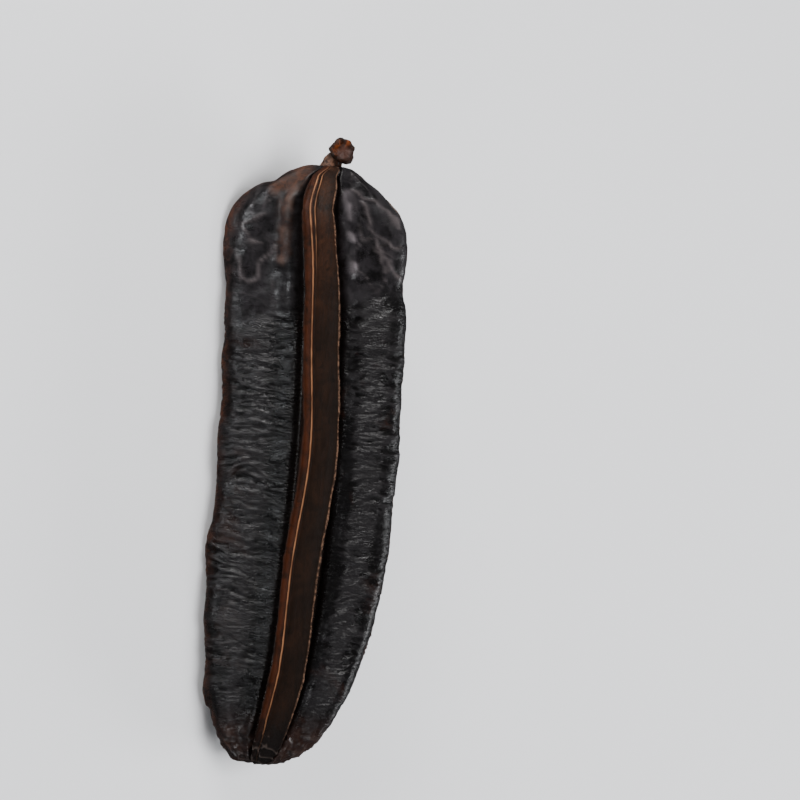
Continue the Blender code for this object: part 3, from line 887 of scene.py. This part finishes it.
# The solid's broad line inside the rim is flattened, and the shoulders get their notch and their bulge.
inner = np.clip(1 - np.abs(row - 13), 0, 1) - MARGIN_FURROW * np.clip(1 - np.abs(row - 14), 0, 1)
solid_margin = MARGIN * (1 - rise(from_top, SHOULDER_TO, SHOULDER_FADE))
solid_margin = solid_margin * np.clip(fleshy_reach / FLESHY_REACH, 0, 1)
relief -= np.where(left_side, 0.9, 0.6) * solid_margin * inner
edge = EDGE_HEIGHT * hill(row, *EDGE_ROW) - EDGE_FURROW * hill(row, *FURROW_ROW)
relief -= edge * (1 - wrinkled) * on_flesh
notch = -NOTCH * hill(from_top, *NOTCH_AT)
swell = SWELL * hill(from_top, *SWELL_AT)
relief += np.where(left_side, notch, swell) * rise(row, *RIM_FROM_ROW) * on_body
keel = hill(row, *KEEL_ROW) * on_body
relief += KEEL * keel * (0.7 + 0.3 * line_noise(SEED + 96, 90, share))

# %% Seam and lips of the bands
THREAD_WIDTH = 0.24 * MM
THREAD_HEIGHT = 0.22 * MM
SLIT_DEPTH = 0.40 * MM
NICK = 0.22 * MM
LIP_ROW = (3.45, 0.75)

across_band = np.interp(row, np.arange(len(BAND_OUT)), BAND_OUT)
wide = np.choose(quarter, [half_width(face, from_top) for face in range(4)])
from_seam = across_band * BAND_HALF * wide
thread_at = (0.80 - 0.40 * rise(from_top, 8 * MM, 40 * MM)) * MM
thread = hill(from_seam, thread_at, THREAD_WIDTH) * on_band
slit = hill(from_seam, 0, 0.6 * thread_at) * on_band
right_thread = 0.30 + 0.60 * (1 - rise(from_top, 6 * MM, 40 * MM))
seam_wear = 0.80 + 0.20 * line_noise(SEED + 102, 70, share)
seam_wear = seam_wear * np.where(np.isin(quarter, (0, 2)), right_thread, 1.0)
relief += (THREAD_HEIGHT * thread * seam_wear - SLIT_DEPTH * slit) * ease(from_top / (4 * MM))
on_lip = hill(row, *LIP_ROW) * on_body
relief += NICK * 0.5 * (line_noise(SEED + 97, 60, share) + line_noise(SEED + 98, 150, share)) * on_lip

# %% Ribs and knob of the stalk
RIB_COUNT = 9
RIB = 0.07 * MM
LUMP = 0.34 * MM
PIT = 0.16 * MM
KNOB_RINGS = (BODY_COUNT + 4, 2)
TORN_RINGS = (BODY_COUNT + 6.4, 0.8)

knob = rise(ring_place, *KNOB_RINGS)
torn = rise(ring_place, *TORN_RINGS)
turn = math.tau * AROUND_PLACE / (4 * QUARTER)
ribs = np.sin(RIB_COUNT * turn + 1.5 * line_noise(SEED + 99, 9, ring_place / 95))
relief += RIB * ribs * on_stem * (1 - torn)
relief += LUMP * cloud_noise(SEED + 100, FINE, 1.5 * MM) * knob
relief += PIT * cloud_noise(SEED + 101, FINE, 0.6 * MM) * on_stem
print("relief in mm, deepest and highest:", np.round(relief.min() / MM, 2), np.round(relief.max() / MM, 2))

# %% [markdown]
# ## Raise the relief and make the mesh
# The relief is pushed out along the surface's own direction, after the pod has been laid down. Whatever
# then reaches below the ground is worn flat on it. The answers to where a point is are kept on the mesh as
# named attributes, because the materials need them too.


# %% Raise the relief
BAND_WANDER = 1.4 * MM
TIP_LEAN = 2.0 * MM
WANDER_AT = (80 * MM, 26 * MM)
LEAN_OVER = 34 * MM


def outward_of(points):
    """The outward direction at each point of a grid of rings."""
    along = np.gradient(points, axis=0)
    around = np.roll(points, -1, 1) - np.roll(points, 1, 1)
    normal = np.cross(along, around)
    return normal / (np.linalg.norm(normal, axis=-1, keepdims=True) + 1e-12)


# The front band wanders to the right along the body, and the blunt tip leans to the left.
high = np.clip(FINE[..., 2] / WOODY_REACH, 0, 1)
FINE[..., 1] += BAND_WANDER * high**2 * hill(from_top, *WANDER_AT)
FINE[..., 1] -= TIP_LEAN * (1 - ease(from_blunt / LEAN_OVER))
laid = set_down(FINE)
laid = laid + outward_of(laid) * relief[..., None]
points = np.concatenate([laid.reshape(-1, 3), set_down(np.array((BLUNT, TIP)))])
points[:, 2] = np.maximum(points[:, 2], 0)
print("points of the pod:", len(points))

# %% Where the skin is rubbed, and the parts of the knob's face
# The left crest is rubbed brown, and so is a strip beside the groove below it. A pale painted highlight runs
# along the rims at the top.
CREST_LINE = ((1.5, -7.5), (5.5, -5.5), (7.5, -12.5))
STRIP_LINE = ((7.0, -8.0), (30.0, -10.0))

crest = (1 - ease(from_line(CREST_LINE, down_mm, aside_mm) / 4.5)) * on_flesh * (aside_mm < 0)
height = (relief + 0.28 * MM * cloud_noise(SEED + 131, FINE, 1.5 * MM) * crest) / (0.30 * MM)
strip = from_line(STRIP_LINE, down_mm + 2 * stray_down, aside_mm + 1.6 * stray_aside)
crest = np.maximum(crest, 0.55 * (1 - ease(strip / 3.6)) * (0.4 + 0.6 * ragged) * on_flesh)
rim_highlight_to = np.where(left_side, 2.5 * MM, 14 * MM)
rim_highlight = hill(row, 15, 0.33) * on_body * (1 - rise(from_top, rim_highlight_to, 4 * MM))
brown_rim = hill(row, 15, 0.8) * on_body * left_side * (0.35 + 0.65 * ragged)
knob_middle = FINE[-20:].mean((0, 1))
knob_up = (FINE[..., 0] - knob_middle[0]) / MM
knob_right = (FINE[..., 1] - knob_middle[1]) / MM
neck = rise(-knob_right, 1.6, 1.4) * (1 - rise(ring_place, BODY_COUNT + 2.5, 1.5))
MAPS = {
    "band": on_band,
    "seam": thread * seam_wear,
    "slit": slit,
    "lip": on_lip,
    "keel": keel,
    "groove": hill(row, 6.8, 1.1) * on_body,
    "height": np.clip(height, -1, 1),
    # The creases' map, which the skin paints with a grey highlight.
    "vein": np.clip(0.5 * vein_map + crease_map, 0, 1),
    "crest": crest,
    "rim_highlight": rim_highlight,
    "brown_rim": np.clip(brown_rim, 0, 1),
    # The raw face's mask rises towards the upper left: painted light there, painted shade towards the lower
    # right.
    "raw": ease((0.8 * knob_up - 0.9 * knob_right + 0.9) / 1.6) * torn,
    "disc": (1 - rise(np.hypot(knob_up + 0.3, knob_right - 0.4), 1.7, 0.7)) * torn,
    "neck": neck * np.maximum(on_stem, 1 - rise(from_top, 1.0 * MM, 2 * MM)),
    "tip": tip_net,
    "net": net,
    "fold_highlight": fold_highlight_map,
    "quiet": quiet,
    "down": rise(from_top, 22 * MM, 34 * MM),
    "left": np.isin(quarter, (1, 3)) * on_body,
    "across": across_band,
    "wrinkled": wrinkled,
    "torn": torn,
}


# %% Build the pod
def build_pod():
    """The fine pod as one mesh, with its maps as attributes of its points."""
    mesh = bpy.data.meshes.new("aridan_pod_skin")
    mesh.from_pydata(points.tolist(), [], faces_of(*FINE.shape[:2]))
    for name, values in MAPS.items():
        flat = np.append(values.reshape(-1), (values[0].mean(), values[-1].mean()))
        attribute = mesh.attributes.new(name, "FLOAT", "POINT")
        attribute.data.foreach_set("value", flat.astype(np.float32))
    mesh.polygons.foreach_set("use_smooth", [True] * len(mesh.polygons))
    mesh.update()
    pod = bpy.data.objects.new("pod", mesh)
    bpy.context.scene.collection.objects.link(pod)
    return pod


pod = build_pod()
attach(pod, "root")
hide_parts("aridan_pod")
print("triangles of the pod:", sum(len(p.vertices) - 2 for p in pod.data.polygons))

# %% [markdown]
# ## Effects that several materials share
# Each is a node group with named inputs and outputs. `grain` gives a random height that is stretched along
# or across the pod. `wear_sheen_and_shade` lightens the raised places, as wear and on the skin as a painted
# grey sheen, and darkens the furrows with painted shade, from the height kept on the mesh. `patches` mixes
# two colours in soft blotches, as weather and handling leave them; on the skin's shoulders it also lays a
# painted sheen. Nodes could be placed by hand, but a few helpers that place and link them keep the recipes
# short.


# %% Helpers that place nodes
def feed(tree, socket, term):
    """Links an output to a socket, or gives the socket a plain value."""
    if isinstance(term, bpy.types.NodeSocket):
        tree.links.new(term, socket)
    else:
        socket.default_value = term


def put(tree, kind, settings=None, **terms):
    """A node with its settings, and its inputs by name, each a value or an output to link."""
    node = tree.nodes.new("ShaderNode" + kind)
    for name, value in (settings or {}).items():
        setattr(node, name, value)
    for name, term in terms.items():
        feed(tree, node.inputs[name.replace("_", " ")], term)
    return node


def maths(tree, operation, first, second, clamp=False):
    """One step of arithmetic with two terms."""
    node = put(tree, "Math", {"operation": operation, "use_clamp": clamp})
    feed(tree, node.inputs[0], first)
    feed(tree, node.inputs[1], second)
    return node.outputs[0]


def times(tree, first, second):
    """Two masks or values multiplied."""
    return maths(tree, "MULTIPLY", first, second)


def mix_colour(tree, amount, below, above):
    """Two colours mixed by an amount."""
    node = put(tree, "Mix", {"data_type": "RGBA"})
    for k, term in ((0, amount), (6, below), (7, above)):
        feed(tree, node.inputs[k], term)
    return node.outputs[2]


def span(tree, value, low, high, to_low=0.0, to_high=1.0):
    """A value mapped smoothly from one range to another, and held at its ends."""
    ends = {"From_Min": low, "From_Max": high, "To_Min": to_low, "To_Max": to_high}
    return put(tree, "MapRange", {"interpolation_type": "SMOOTHSTEP"}, Value=value, **ends).outputs[0]


def read(tree, name):
    """The value of one of the pod's maps."""
    return put(tree, "Attribute", {"attribute_name": name}).outputs["Fac"]


def new_group(name, inputs, output):
    """An empty node group with named inputs and their values, and one output. Returns its two ends too."""
    group = bpy.data.node_groups.new(name, "ShaderNodeTree")
    kinds = {float: "NodeSocketFloat", tuple: "NodeSocketColor"}
    for title, value in inputs.items():
        socket = group.interface.new_socket(title, in_out="INPUT", socket_type=kinds[type(value)])
        socket.default_value = value
    kind = kinds[tuple if output == "Colour" else float]
    group.interface.new_socket(output, in_out="OUTPUT", socket_type=kind)
    return group, group.nodes.new("NodeGroupInput").outputs, group.nodes.new("NodeGroupOutput").inputs[0]


# %% Node groups
GREY = (0.5, 0.5, 0.5, 1.0)


def grain_group():
    """A random height stretched along or across the pod."""
    inputs = {"Along": 300.0, "Across": 300.0, "Detail": 4.0, "Distortion": 0.3}
    group, given, end = new_group("grain", inputs, "Height")
    here = put(group, "TexCoord").outputs["Object"]
    stretch = put(group, "CombineXYZ", X=given["Along"], Y=given["Across"], Z=given["Across"])
    product = put(group, "VectorMath", {"operation": "MULTIPLY"})
    feed(group, product.inputs[0], here)
    feed(group, product.inputs[1], stretch.outputs[0])
    shape = {"Detail": given["Detail"], "Distortion": given["Distortion"]}
    noise = put(group, "TexNoise", Vector=product.outputs[0], Scale=1.0, Roughness=0.6, **shape)
    feed(group, end, noise.outputs["Fac"])
    return group


def wear_sheen_shade_group():
    """A colour lighter on raised places, wear on wood and painted sheen on skin, and darker in furrows as
    painted shade.
    """
    inputs = {"Colour": GREY, "Raised": GREY, "Sunk": GREY, "Raised Amount": 0.4, "Sunk Amount": 0.5}
    group, given, end = new_group("wear_sheen_and_shade", inputs, "Colour")
    level = read(group, "height")
    high = times(group, span(group, level, 0.1, 0.9), given["Raised Amount"])
    low = times(group, span(group, level, -0.1, -0.8), given["Sunk Amount"])
    colour = mix_colour(group, high, given["Colour"], given["Raised"])
    feed(group, end, mix_colour(group, low, colour, given["Sunk"]))
    return group


def patches_group():
    """Two colours mixed in soft blotches."""
    inputs = {"Colour": GREY, "Blotch": GREY, "Scale": 60.0, "Cover": 0.5, "Softness": 0.12}
    group, given, end = new_group("patches", inputs, "Colour")
    here = put(group, "TexCoord").outputs["Object"]
    shape = {"Detail": 5.0, "Roughness": 0.62, "Distortion": 0.6}
    noise = put(group, "TexNoise", Vector=here, Scale=given["Scale"], **shape)
    over = maths(group, "SUBTRACT", noise.outputs["Fac"], maths(group, "SUBTRACT", 1.0, given["Cover"]))
    mask = maths(group, "ADD", maths(group, "DIVIDE", over, given["Softness"]), 0.5, clamp=True)
    feed(group, end, mix_colour(group, mask, given["Colour"], given["Blotch"]))
    return group


GRAIN = grain_group()
WEAR_SHEEN_SHADE = wear_sheen_shade_group()
PATCHES = patches_group()
print("node groups:", [group.name for group in bpy.data.node_groups])

# %% [markdown]
# ## The finish of the pod
# One mesh carries three materials, and each is given to the faces that it covers: the waxy black skin of
# the fleshy wings, the brown wood of the bands, and the stalk with its torn end. Three pieces would need
# seams. Each finish is built as a painter would: a ground, then colours laid over it through masks.


# %% Helpers for the materials
def new_material(name):
    """A material with a Principled shader, and its node tree."""
    material = bpy.data.materials.new(name)
    material.use_nodes = True
    tree = material.node_tree
    return material, tree, tree.nodes["Principled BSDF"]


def stretched(tree, grain):
    """The grain group's height. A grain is its scale along and across, its detail and its distortion."""
    values = dict(zip(("Along", "Across", "Detail", "Distortion"), grain))
    return put(tree, "Group", {"node_tree": GRAIN}, **values).outputs["Height"]


def blotched(tree, colour, blotch, patches):
    """The colour of the patches group. Patches are their scale, their cover and their softness."""
    values = dict(zip(("Scale", "Cover", "Softness"), patches), Colour=colour, Blotch=blotch)
    return put(tree, "Group", {"node_tree": PATCHES}, **values).outputs["Colour"]


def worn(tree, colour, raised, sunk, raised_amount, sunk_amount):
    """The colour of the group: wear and painted sheen on raised places, painted shade in sunk ones."""
    values = {"Colour": colour, "Raised": raised, "Sunk": sunk}
    amounts = {"Raised_Amount": raised_amount, "Sunk_Amount": sunk_amount}
    return put(tree, "Group", {"node_tree": WEAR_SHEEN_SHADE}, **values, **amounts).outputs["Colour"]


def mask(tree, name, most, low=None, high=None):
    """One of the pod's maps times a number, or rising smoothly to that number between two levels."""
    if low is None:
        return times(tree, read(tree, name), most)
    return span(tree, read(tree, name), low, high, 0.0, most)


def lay(tree, colour, layers):
    """Colours laid over one another. Each layer is a mask and its colour."""
    for amount, above in layers:
        colour = mix_colour(tree, amount, colour, above)
    return colour


def bump(tree, height, distance, strength, **under):
    """Raises a height into the surface's normal, over another one if it is given."""
    values = {"Height": height, "Distance": distance, "Strength": strength}
    return put(tree, "Bump", None, **values, **under).outputs["Normal"]


def dress(tree, shader, colour, rough, specular, normal=None):
    """Gives the shader its colour, roughness, specular level and normal."""
    feed(tree, shader.inputs["Base Color"], colour)
    feed(tree, shader.inputs["Roughness"], rough)
    shader.inputs["Specular IOR Level"].default_value = specular
    if normal is not None:
        feed(tree, shader.inputs["Normal"], normal)


def srgb(red, green, blue):
    """A colour as seen on a screen, from 0 to 255, as the shader's linear colour."""
    parts = [v / 255 for v in (red, green, blue)]
    return (*[p / 12.92 if p <= 0.04045 else ((p + 0.055) / 1.055) ** 2.4 for p in parts], 1.0)


# %% [markdown]
# ### Black skin
# The dried flesh is almost black, with a dull wax that catches grey light on every fold, and a painted grey
# sheen on raised places and in fine streaks, with painted shade in the furrows. The shoulders are smooth
# with a painted sheen in soft blotches, and their creases and the folds beside the grooves carry painted
# highlights. Brown shows along the rims, beside the grooves, on the left crest and in faint patches; the
# rims are painted with a pale highlight at the top, and the net at the blunt tip with pale painted
# highlights. Paint alone would look flat, so two bumps add the finest ripples and pores, and the
# roughness changes over the skin.

# %% Material of the fleshy wings
SOOT = srgb(9, 8, 8)
ASH = srgb(20, 18, 19)
RUST = srgb(62, 31, 17)
FURROW_SHADE = srgb(7, 6, 6)
SHEEN_GREY = srgb(40, 38, 39)
NET_HIGHLIGHT = srgb(92, 80, 74)
WAX_SPECULAR = 0.29
STREAK_GRAIN = (950.0, 170.0, 3.0, 0.6)
TORN_GRAIN = (330.0, 330.0, 4.0, 0.5)
RIPPLE_GRAIN = (1500.0, 460.0, 3.0, 0.8)
PORE_GRAIN = (3600.0, 3600.0, 2.0, 0.0)
GLOSS_GRAIN = (420.0, 160.0, 4.0, 0.6)
ASH_PATCHES = (150.0, 0.42, 0.3)
RUST_PATCHES = (52.0, 0.33, 0.2)
SHEEN_PATCHES = (330.0, 0.52, 0.25)
CREST_PATCHES = (360.0, 0.55, 0.22)
TIP_PATCHES = (240.0, 0.6, 0.3)


def skin_colour(tree):
    """Black, with a painted grey sheen and painted highlights, painted shade in furrows, and brown tints."""
    ground = blotched(tree, SOOT, ASH, ASH_PATCHES)
    tinted = mix_colour(tree, 0.4, ground, blotched(tree, ground, RUST, RUST_PATCHES))
    # Raised places get a painted grey sheen, and furrows painted shade.
    colour = worn(tree, tinted, SHEEN_GREY, FURROW_SHADE, 0.45, 0.8)
    # Fine grey streaks over the wrinkles: a painted sheen.
    streak = span(tree, stretched(tree, STREAK_GRAIN), 0.55, 0.78, 0.0, 0.30)
    streak = times(tree, streak, read(tree, "wrinkled"))
    colour = mix_colour(tree, streak, colour, srgb(46, 44, 45))
    # On the smooth shoulders, soft blotches of a painted grey sheen.
    smooth = maths(tree, "SUBTRACT", 0.65, mask(tree, "wrinkled", 0.65), clamp=True)
    shoulder_sheen = blotched(tree, colour, srgb(38, 35, 37), SHEEN_PATCHES)
    left = read(tree, "left")
    # A painted highlight along the folds beside the grooves, grey on the right and brownish on the left.
    fold = times(tree, read(tree, "fold_highlight"), span(tree, left, 0, 1, 0.78, 0.76))
    fold_highlight_tint = mix_colour(tree, left, srgb(104, 97, 99), srgb(106, 84, 74))
    crest_tint = blotched(tree, srgb(30, 17, 10), srgb(76, 44, 27), CREST_PATCHES)
    torn_edge = span(tree, stretched(tree, TORN_GRAIN), 0.38, 0.62, 0.15, 1.0)
    layers = (
        (smooth, shoulder_sheen),
        # Creases lightened grey: a painted highlight along them.
        (mask(tree, "vein", 0.46), srgb(96, 88, 88)),
        (fold, fold_highlight_tint),
        (mask(tree, "crest", 0.80), crest_tint),
        (times(tree, mask(tree, "keel", 0.85, 0.40, 1.0), torn_edge), RUST),
        (times(tree, mask(tree, "brown_rim", 0.9), torn_edge), srgb(78, 44, 27)),
        # A pale painted highlight along the rims at the top.
        (times(tree, mask(tree, "rim_highlight", 0.8, 0.45, 0.95), torn_edge), srgb(142, 122, 112)),
        (mask(tree, "groove", 0.7), srgb(20, 12, 8)),
        # The creases of the tip's net are lightened: a painted highlight.
        (mask(tree, "net", 0.30, 0.3, 0.95), NET_HIGHLIGHT),
    )
    colour = lay(tree, colour, layers)
    browned = blotched(tree, colour, srgb(38, 24, 19), TIP_PATCHES)
    return mix_colour(tree, mask(tree, "tip", 0.8), colour, browned)


def skin_material():
    """Waxy black skin with brown rims."""
    material, tree, shader = new_material("black_wing_skin")
    ripple = stretched(tree, RIPPLE_GRAIN)
    ripple = times(tree, ripple, span(tree, read(tree, "wrinkled"), 0, 1, 0.2, 1.0))
    pores = stretched(tree, PORE_GRAIN)
    normal = bump(tree, pores, 0.00012, 0.35, Normal=bump(tree, ripple, 0.00060, 0.65))
    rough = span(tree, stretched(tree, GLOSS_GRAIN), 0.3, 0.7, 0.25, 0.42)
    rough = maths(tree, "SUBTRACT", rough, mask(tree, "quiet", 0.07))
    rough = maths(tree, "ADD", rough, mask(tree, "crest", 0.42), clamp=True)
    dress(tree, shader, skin_colour(tree), rough, WAX_SPECULAR, normal)
    return material


# %% [markdown]
# ### Woody band
# The band is bare brown wood with fibres along it. The seam's two threads and the lips are rubbed pale, the
# slit between the threads is dark, and painted shade darkens the band towards its edges, the side that turns
# down into the groove, and the furrows of its grain. The left half is redder, and at the blunt tip the wood
# is as black as the skin.

# %% Material of the bands
BARK = srgb(34, 20, 13)
BARK_LIGHT = srgb(56, 33, 20)
BARK_DARK = srgb(15, 10, 7)
OXBLOOD = srgb(62, 28, 12)
TIP_BLACK = srgb(16, 12, 11)
THREAD = srgb(140, 96, 66)
BAND_SPECULAR = 0.15
FIBRE_GRAIN = (110.0, 900.0, 5.0, 0.9)
LIP_GRAIN = (900.0, 900.0, 4.0, 0.6)
WOOD_PORES = (1900.0, 3800.0, 3.0, 0.2)
BARK_PATCHES = (150.0, 0.45, 0.30)
SPECKS = (420.0, 0.38, 0.12)
STAIN_PATCHES = (260.0, 0.42, 0.25)


def band_material():
    """Brown wood with a pale seam and lips."""
    material, tree, shader = new_material("woody_band")
    left = read(tree, "left")
    across = read(tree, "across")
    fibres = stretched(tree, FIBRE_GRAIN)
    ground = blotched(tree, BARK, BARK_LIGHT, BARK_PATCHES)
    colour = mix_colour(tree, span(tree, fibres, 0.30, 0.62, 0.45, 1.0), BARK_DARK, ground)
    colour = mix_colour(tree, 0.8, colour, blotched(tree, colour, BARK_DARK, SPECKS))
    # Lighter raised places as wear, and painted shade in the furrows.
    colour = worn(tree, colour, BARK_LIGHT, BARK_DARK, 0.30, 0.4)
    lip = span(tree, stretched(tree, LIP_GRAIN), 0.40, 0.62, 0.10, 0.70)
    lip = times(tree, lip, mask(tree, "lip", 1.0, 0.78, 1.0))
    lip = times(tree, lip, span(tree, left, 0, 1, 1.0, 0.05))
    side = maths(tree, "SUBTRACT", 1.0, read(tree, "band"), clamp=True)
    stain = blotched(tree, OXBLOOD, BARK_DARK, STAIN_PATCHES)
    layers = (
        (times(tree, left, span(tree, across, 0.05, 0.9, 0.35, 0.9)), stain),
        (times(tree, read(tree, "down"), span(tree, left, 0, 1, 0.68, 0.0)), BARK_DARK),
        # Painted shade: the band darkens towards its edges, where it turns into the groove.
        (span(tree, across, 0.35, 1.0, 0.0, 0.55), BARK_DARK),
        (mask(tree, "seam", 0.9, 0.25, 0.85), THREAD),
        (mask(tree, "slit", 0.7, 0.5, 0.95), BARK_DARK),
        (lip, srgb(118, 88, 70)),
        # Painted shade on the side that turns down into the groove.
        (times(tree, side, 0.85), srgb(24, 14, 10)),
        (mask(tree, "tip", 0.92), TIP_BLACK),
        # The creases of the tip's net are lightened: a painted highlight.
        (mask(tree, "net", 0.30, 0.3, 0.95), NET_HIGHLIGHT),
    )
    pores = stretched(tree, WOOD_PORES)
    normal = bump(tree, pores, 0.00015, 0.5, Normal=bump(tree, fibres, 0.0004, 0.7))
    rough = span(tree, fibres, 0.3, 0.7, 0.48, 0.72)
    rough = maths(tree, "ADD", rough, mask(tree, "lip", 0.3), clamp=True)
    dress(tree, shader, lay(tree, colour, layers), rough, BAND_SPECULAR, normal)
    return material


# %% [markdown]
# ### Stalk
# The stalk is dark ribbed bark, paler on the left of its neck. The knob's torn face is raw orange-brown wood
# round a duller disc; the raw wood is painted lit towards the upper left, is left dark as painted shade
# towards the lower right, and its pits get painted shade. All this is colour over the ribs and lumps that
# the mesh already has.


# %% Material of the stalk
STALK_SPECULAR = 0.28
STALK_FIBRES = (500.0, 1200.0, 5.0, 0.4)
STALK_PATCHES = (330.0, 0.45, 0.25)
NECK_PATCHES = (620.0, 0.52, 0.18)
RAW_PATCHES = (560.0, 0.50, 0.2)
HEART_PATCHES = (600.0, 0.4, 0.3)


def stalk_material():
    """Dark ribbed bark with a raw torn end."""
    material, tree, shader = new_material("stalk_bark")
    fibres = stretched(tree, STALK_FIBRES)
    ground = blotched(tree, srgb(36, 22, 14), srgb(74, 40, 22), STALK_PATCHES)
    bark = mix_colour(tree, span(tree, fibres, 0.35, 0.7, 0.0, 0.8), srgb(20, 12, 9), ground)
    pale = blotched(tree, srgb(34, 22, 17), srgb(104, 74, 58), NECK_PATCHES)
    bark = mix_colour(tree, mask(tree, "neck", 0.85), bark, pale)
    # Raw orange wood with painted shade in its pits, laid where the face is painted lit; the dark ground
    # left at the lower right is painted shade.
    raw = blotched(tree, srgb(94, 45, 16), srgb(42, 20, 10), RAW_PATCHES)
    raw = worn(tree, raw, srgb(138, 68, 28), srgb(20, 10, 6), 0.6, 0.8)
    heart = blotched(tree, srgb(64, 43, 37), srgb(36, 22, 18), HEART_PATCHES)
    layers = ((mask(tree, "raw", 0.95), raw), (mask(tree, "disc", 0.85), heart))
    face = lay(tree, srgb(34, 18, 12), layers)
    colour = mix_colour(tree, mask(tree, "torn", 1.0, 0.2, 0.8), bark, face)
    rough = span(tree, fibres, 0.3, 0.7, 0.5, 0.8)
    dress(tree, shader, colour, rough, STALK_SPECULAR, bump(tree, fibres, 0.0004, 0.6))
    return material


# %% Give each face its material
SKIN_FROM_ROW = 6.6


def paint_pod():
    """Puts the three materials on the pod: skin, band and stalk."""
    for material in (skin_material(), band_material(), stalk_material()):
        pod.data.materials.append(material)
    middle_row = (row + np.roll(row, -1, 1)) / 2
    kind = np.where(middle_row[:-1] < SKIN_FROM_ROW, 1, 0)
    kind = np.where(ring_place[:-1] > BODY_COUNT - 2, 2, kind)
    caps = np.stack([kind[0], 0 * kind[0] + 2], -1)
    pod.data.polygons.foreach_set("material_index", np.concatenate([kind.reshape(-1), caps.reshape(-1)]))
    print("faces of skin, band and stalk:", np.bincount(kind.reshape(-1)))


paint_pod()

# %% [markdown]
# ## Ground and light
# A pale matt floor and soft lamps give the plain studio look. A black, waxy thing shows its form only by
# what it mirrors, so where a lamp stands matters more than how strong it is. The key stands beyond the stalk
# and rakes along the front, a narrow one shows the wrinkles from the left, a small one lights the blunt end,
# and one behind draws the far rims. The widest hangs above and brightens the floor. Neither it nor the
# floor is mirrored in the skin, as though dark cards stood round the pod, or the black would turn grey.


# %% Floor and sky
FLOOR_PALE = (0.80, 0.80, 0.81, 1)
FLOOR_GREY = (0.77, 0.77, 0.78, 1)
FLOOR_PATCHES = (7.0, 0.5, 0.6)
SKY_COLOUR = (0.93, 0.96, 1.0, 1)


def build_floor():
    """A wide floor with a faint unevenness in its tone."""
    reach = 3.0
    mesh = bpy.data.meshes.new("floor")
    corners = [(-reach, -reach, 0), (reach, -reach, 0), (reach, reach, 0), (-reach, reach, 0)]
    mesh.from_pydata(corners, [], [(0, 1, 2, 3)])
    floor = bpy.data.objects.new("floor", mesh)
    bpy.context.scene.collection.objects.link(floor)
    material, tree, shader = new_material("studio_floor")
    tone = blotched(tree, FLOOR_PALE, FLOOR_GREY, FLOOR_PATCHES)
    feed(tree, shader.inputs["Base Color"], tone)
    shader.inputs["Roughness"].default_value = 0.75
    mesh.materials.append(material)
    floor.visible_glossy = False


def build_sky(strength):
    """A plain pale sky."""
    world = bpy.data.worlds.new("studio")
    world.use_nodes = True
    sky = world.node_tree.nodes["Background"]
    sky.inputs["Color"].default_value = SKY_COLOUR
    sky.inputs["Strength"].default_value = strength
    bpy.context.scene.world = world


SKY_STRENGTH = 0.105
build_floor()
build_sky(SKY_STRENGTH)

# %% Lamps
# Each lamp's name, its place from the middle of the pod, its width and height, its watts and its colour.
POD_MIDDLE = Vector((0.0, 0.0, 0.02))
COLD_WHITE = (0.97, 0.98, 1.0)
LAMPS = (
    ("key", 0.46 * FRONT + 0.80 * ALONG - 0.08 * RIGHT, (0.42, 0.20), 8.5, (1.0, 0.99, 0.98)),
    ("low", 0.52 * FRONT + 0.30 * ALONG - 0.62 * RIGHT, (0.12, 0.30), 4.4, (0.94, 0.97, 1.0)),
    ("tail", 0.50 * FRONT - 0.80 * ALONG - 0.10 * RIGHT, (0.20, 0.20), 1.5, (0.96, 0.98, 1.0)),
    ("back", Vector((0.25, 0.80, 0.42)), (0.50, 0.25), 5.0, COLD_WHITE),
    ("top", Vector((0.0, 0.0, 1.30)), (0.80, 0.80), 26.0, COLD_WHITE),
)


def add_lamp(name, offset, size, power, colour):
    """A soft lamp aimed at the middle of the pod."""
    lamp = bpy.data.lights.new(name, "AREA")
    lamp.shape = "RECTANGLE"
    lamp.size, lamp.size_y = size
    lamp.energy = power
    lamp.color = colour
    holder = bpy.data.objects.new(name, lamp)
    holder.location = POD_MIDDLE + offset
    holder.rotation_euler = (holder.location - POD_MIDDLE).to_track_quat("Z", "Y").to_euler()
    holder.visible_glossy = name != "top"
    bpy.context.scene.collection.objects.link(holder)


for lamp in LAMPS:
    add_lamp(*lamp)

# %% [markdown]
# ## The camera
# The photograph shows the pod from the front, leaning a little, left of the picture's middle. The camera
# looks straight at the front band from far off, so that the pod is drawn almost without perspective, and
# its width of view is worked out from the pod's length in the picture.

# %% Camera at the photograph's viewing angle
# The top of the body and its blunt tip lie at these places in the picture, from its upper left corner.
PICTURE = 800
SHOULDER_PIXEL = (313, 165)
BLUNT_PIXEL = (263, 764)
CAMERA_DISTANCE = 0.90
SENSOR = 0.036


def build_camera():
    """A camera that sees the pod in the photograph's place and lean."""
    shift_right = SHOULDER_PIXEL[0] - BLUNT_PIXEL[0]
    shift_up = BLUNT_PIXEL[1] - SHOULDER_PIXEL[1]
    metres = BODY_LENGTH / math.hypot(shift_right, shift_up)
    lean = math.atan2(shift_right, shift_up)
    up = math.cos(lean) * ALONG - math.sin(lean) * RIGHT
    right = math.cos(lean) * RIGHT + math.sin(lean) * ALONG
    top = Vector(set_down(np.array(((BODY_LENGTH, 0, 0),)))[0])
    aim = top + right * (PICTURE / 2 - SHOULDER_PIXEL[0]) * metres
    aim = aim - up * (PICTURE / 2 - SHOULDER_PIXEL[1]) * metres
    camera = bpy.data.cameras.new("camera")
    camera.sensor_width = SENSOR / MM
    camera.lens = SENSOR / MM * CAMERA_DISTANCE / (PICTURE * metres)
    holder = bpy.data.objects.new("camera", camera)
    turn = Matrix((right, up, FRONT)).transposed().to_4x4()
    holder.matrix_world = Matrix.Translation(aim + FRONT * CAMERA_DISTANCE) @ turn
    bpy.context.scene.collection.objects.link(holder)
    bpy.context.scene.camera = holder
    print("lens in mm:", round(camera.lens, 1), "lean in degrees:", round(math.degrees(lean), 1))


build_camera()
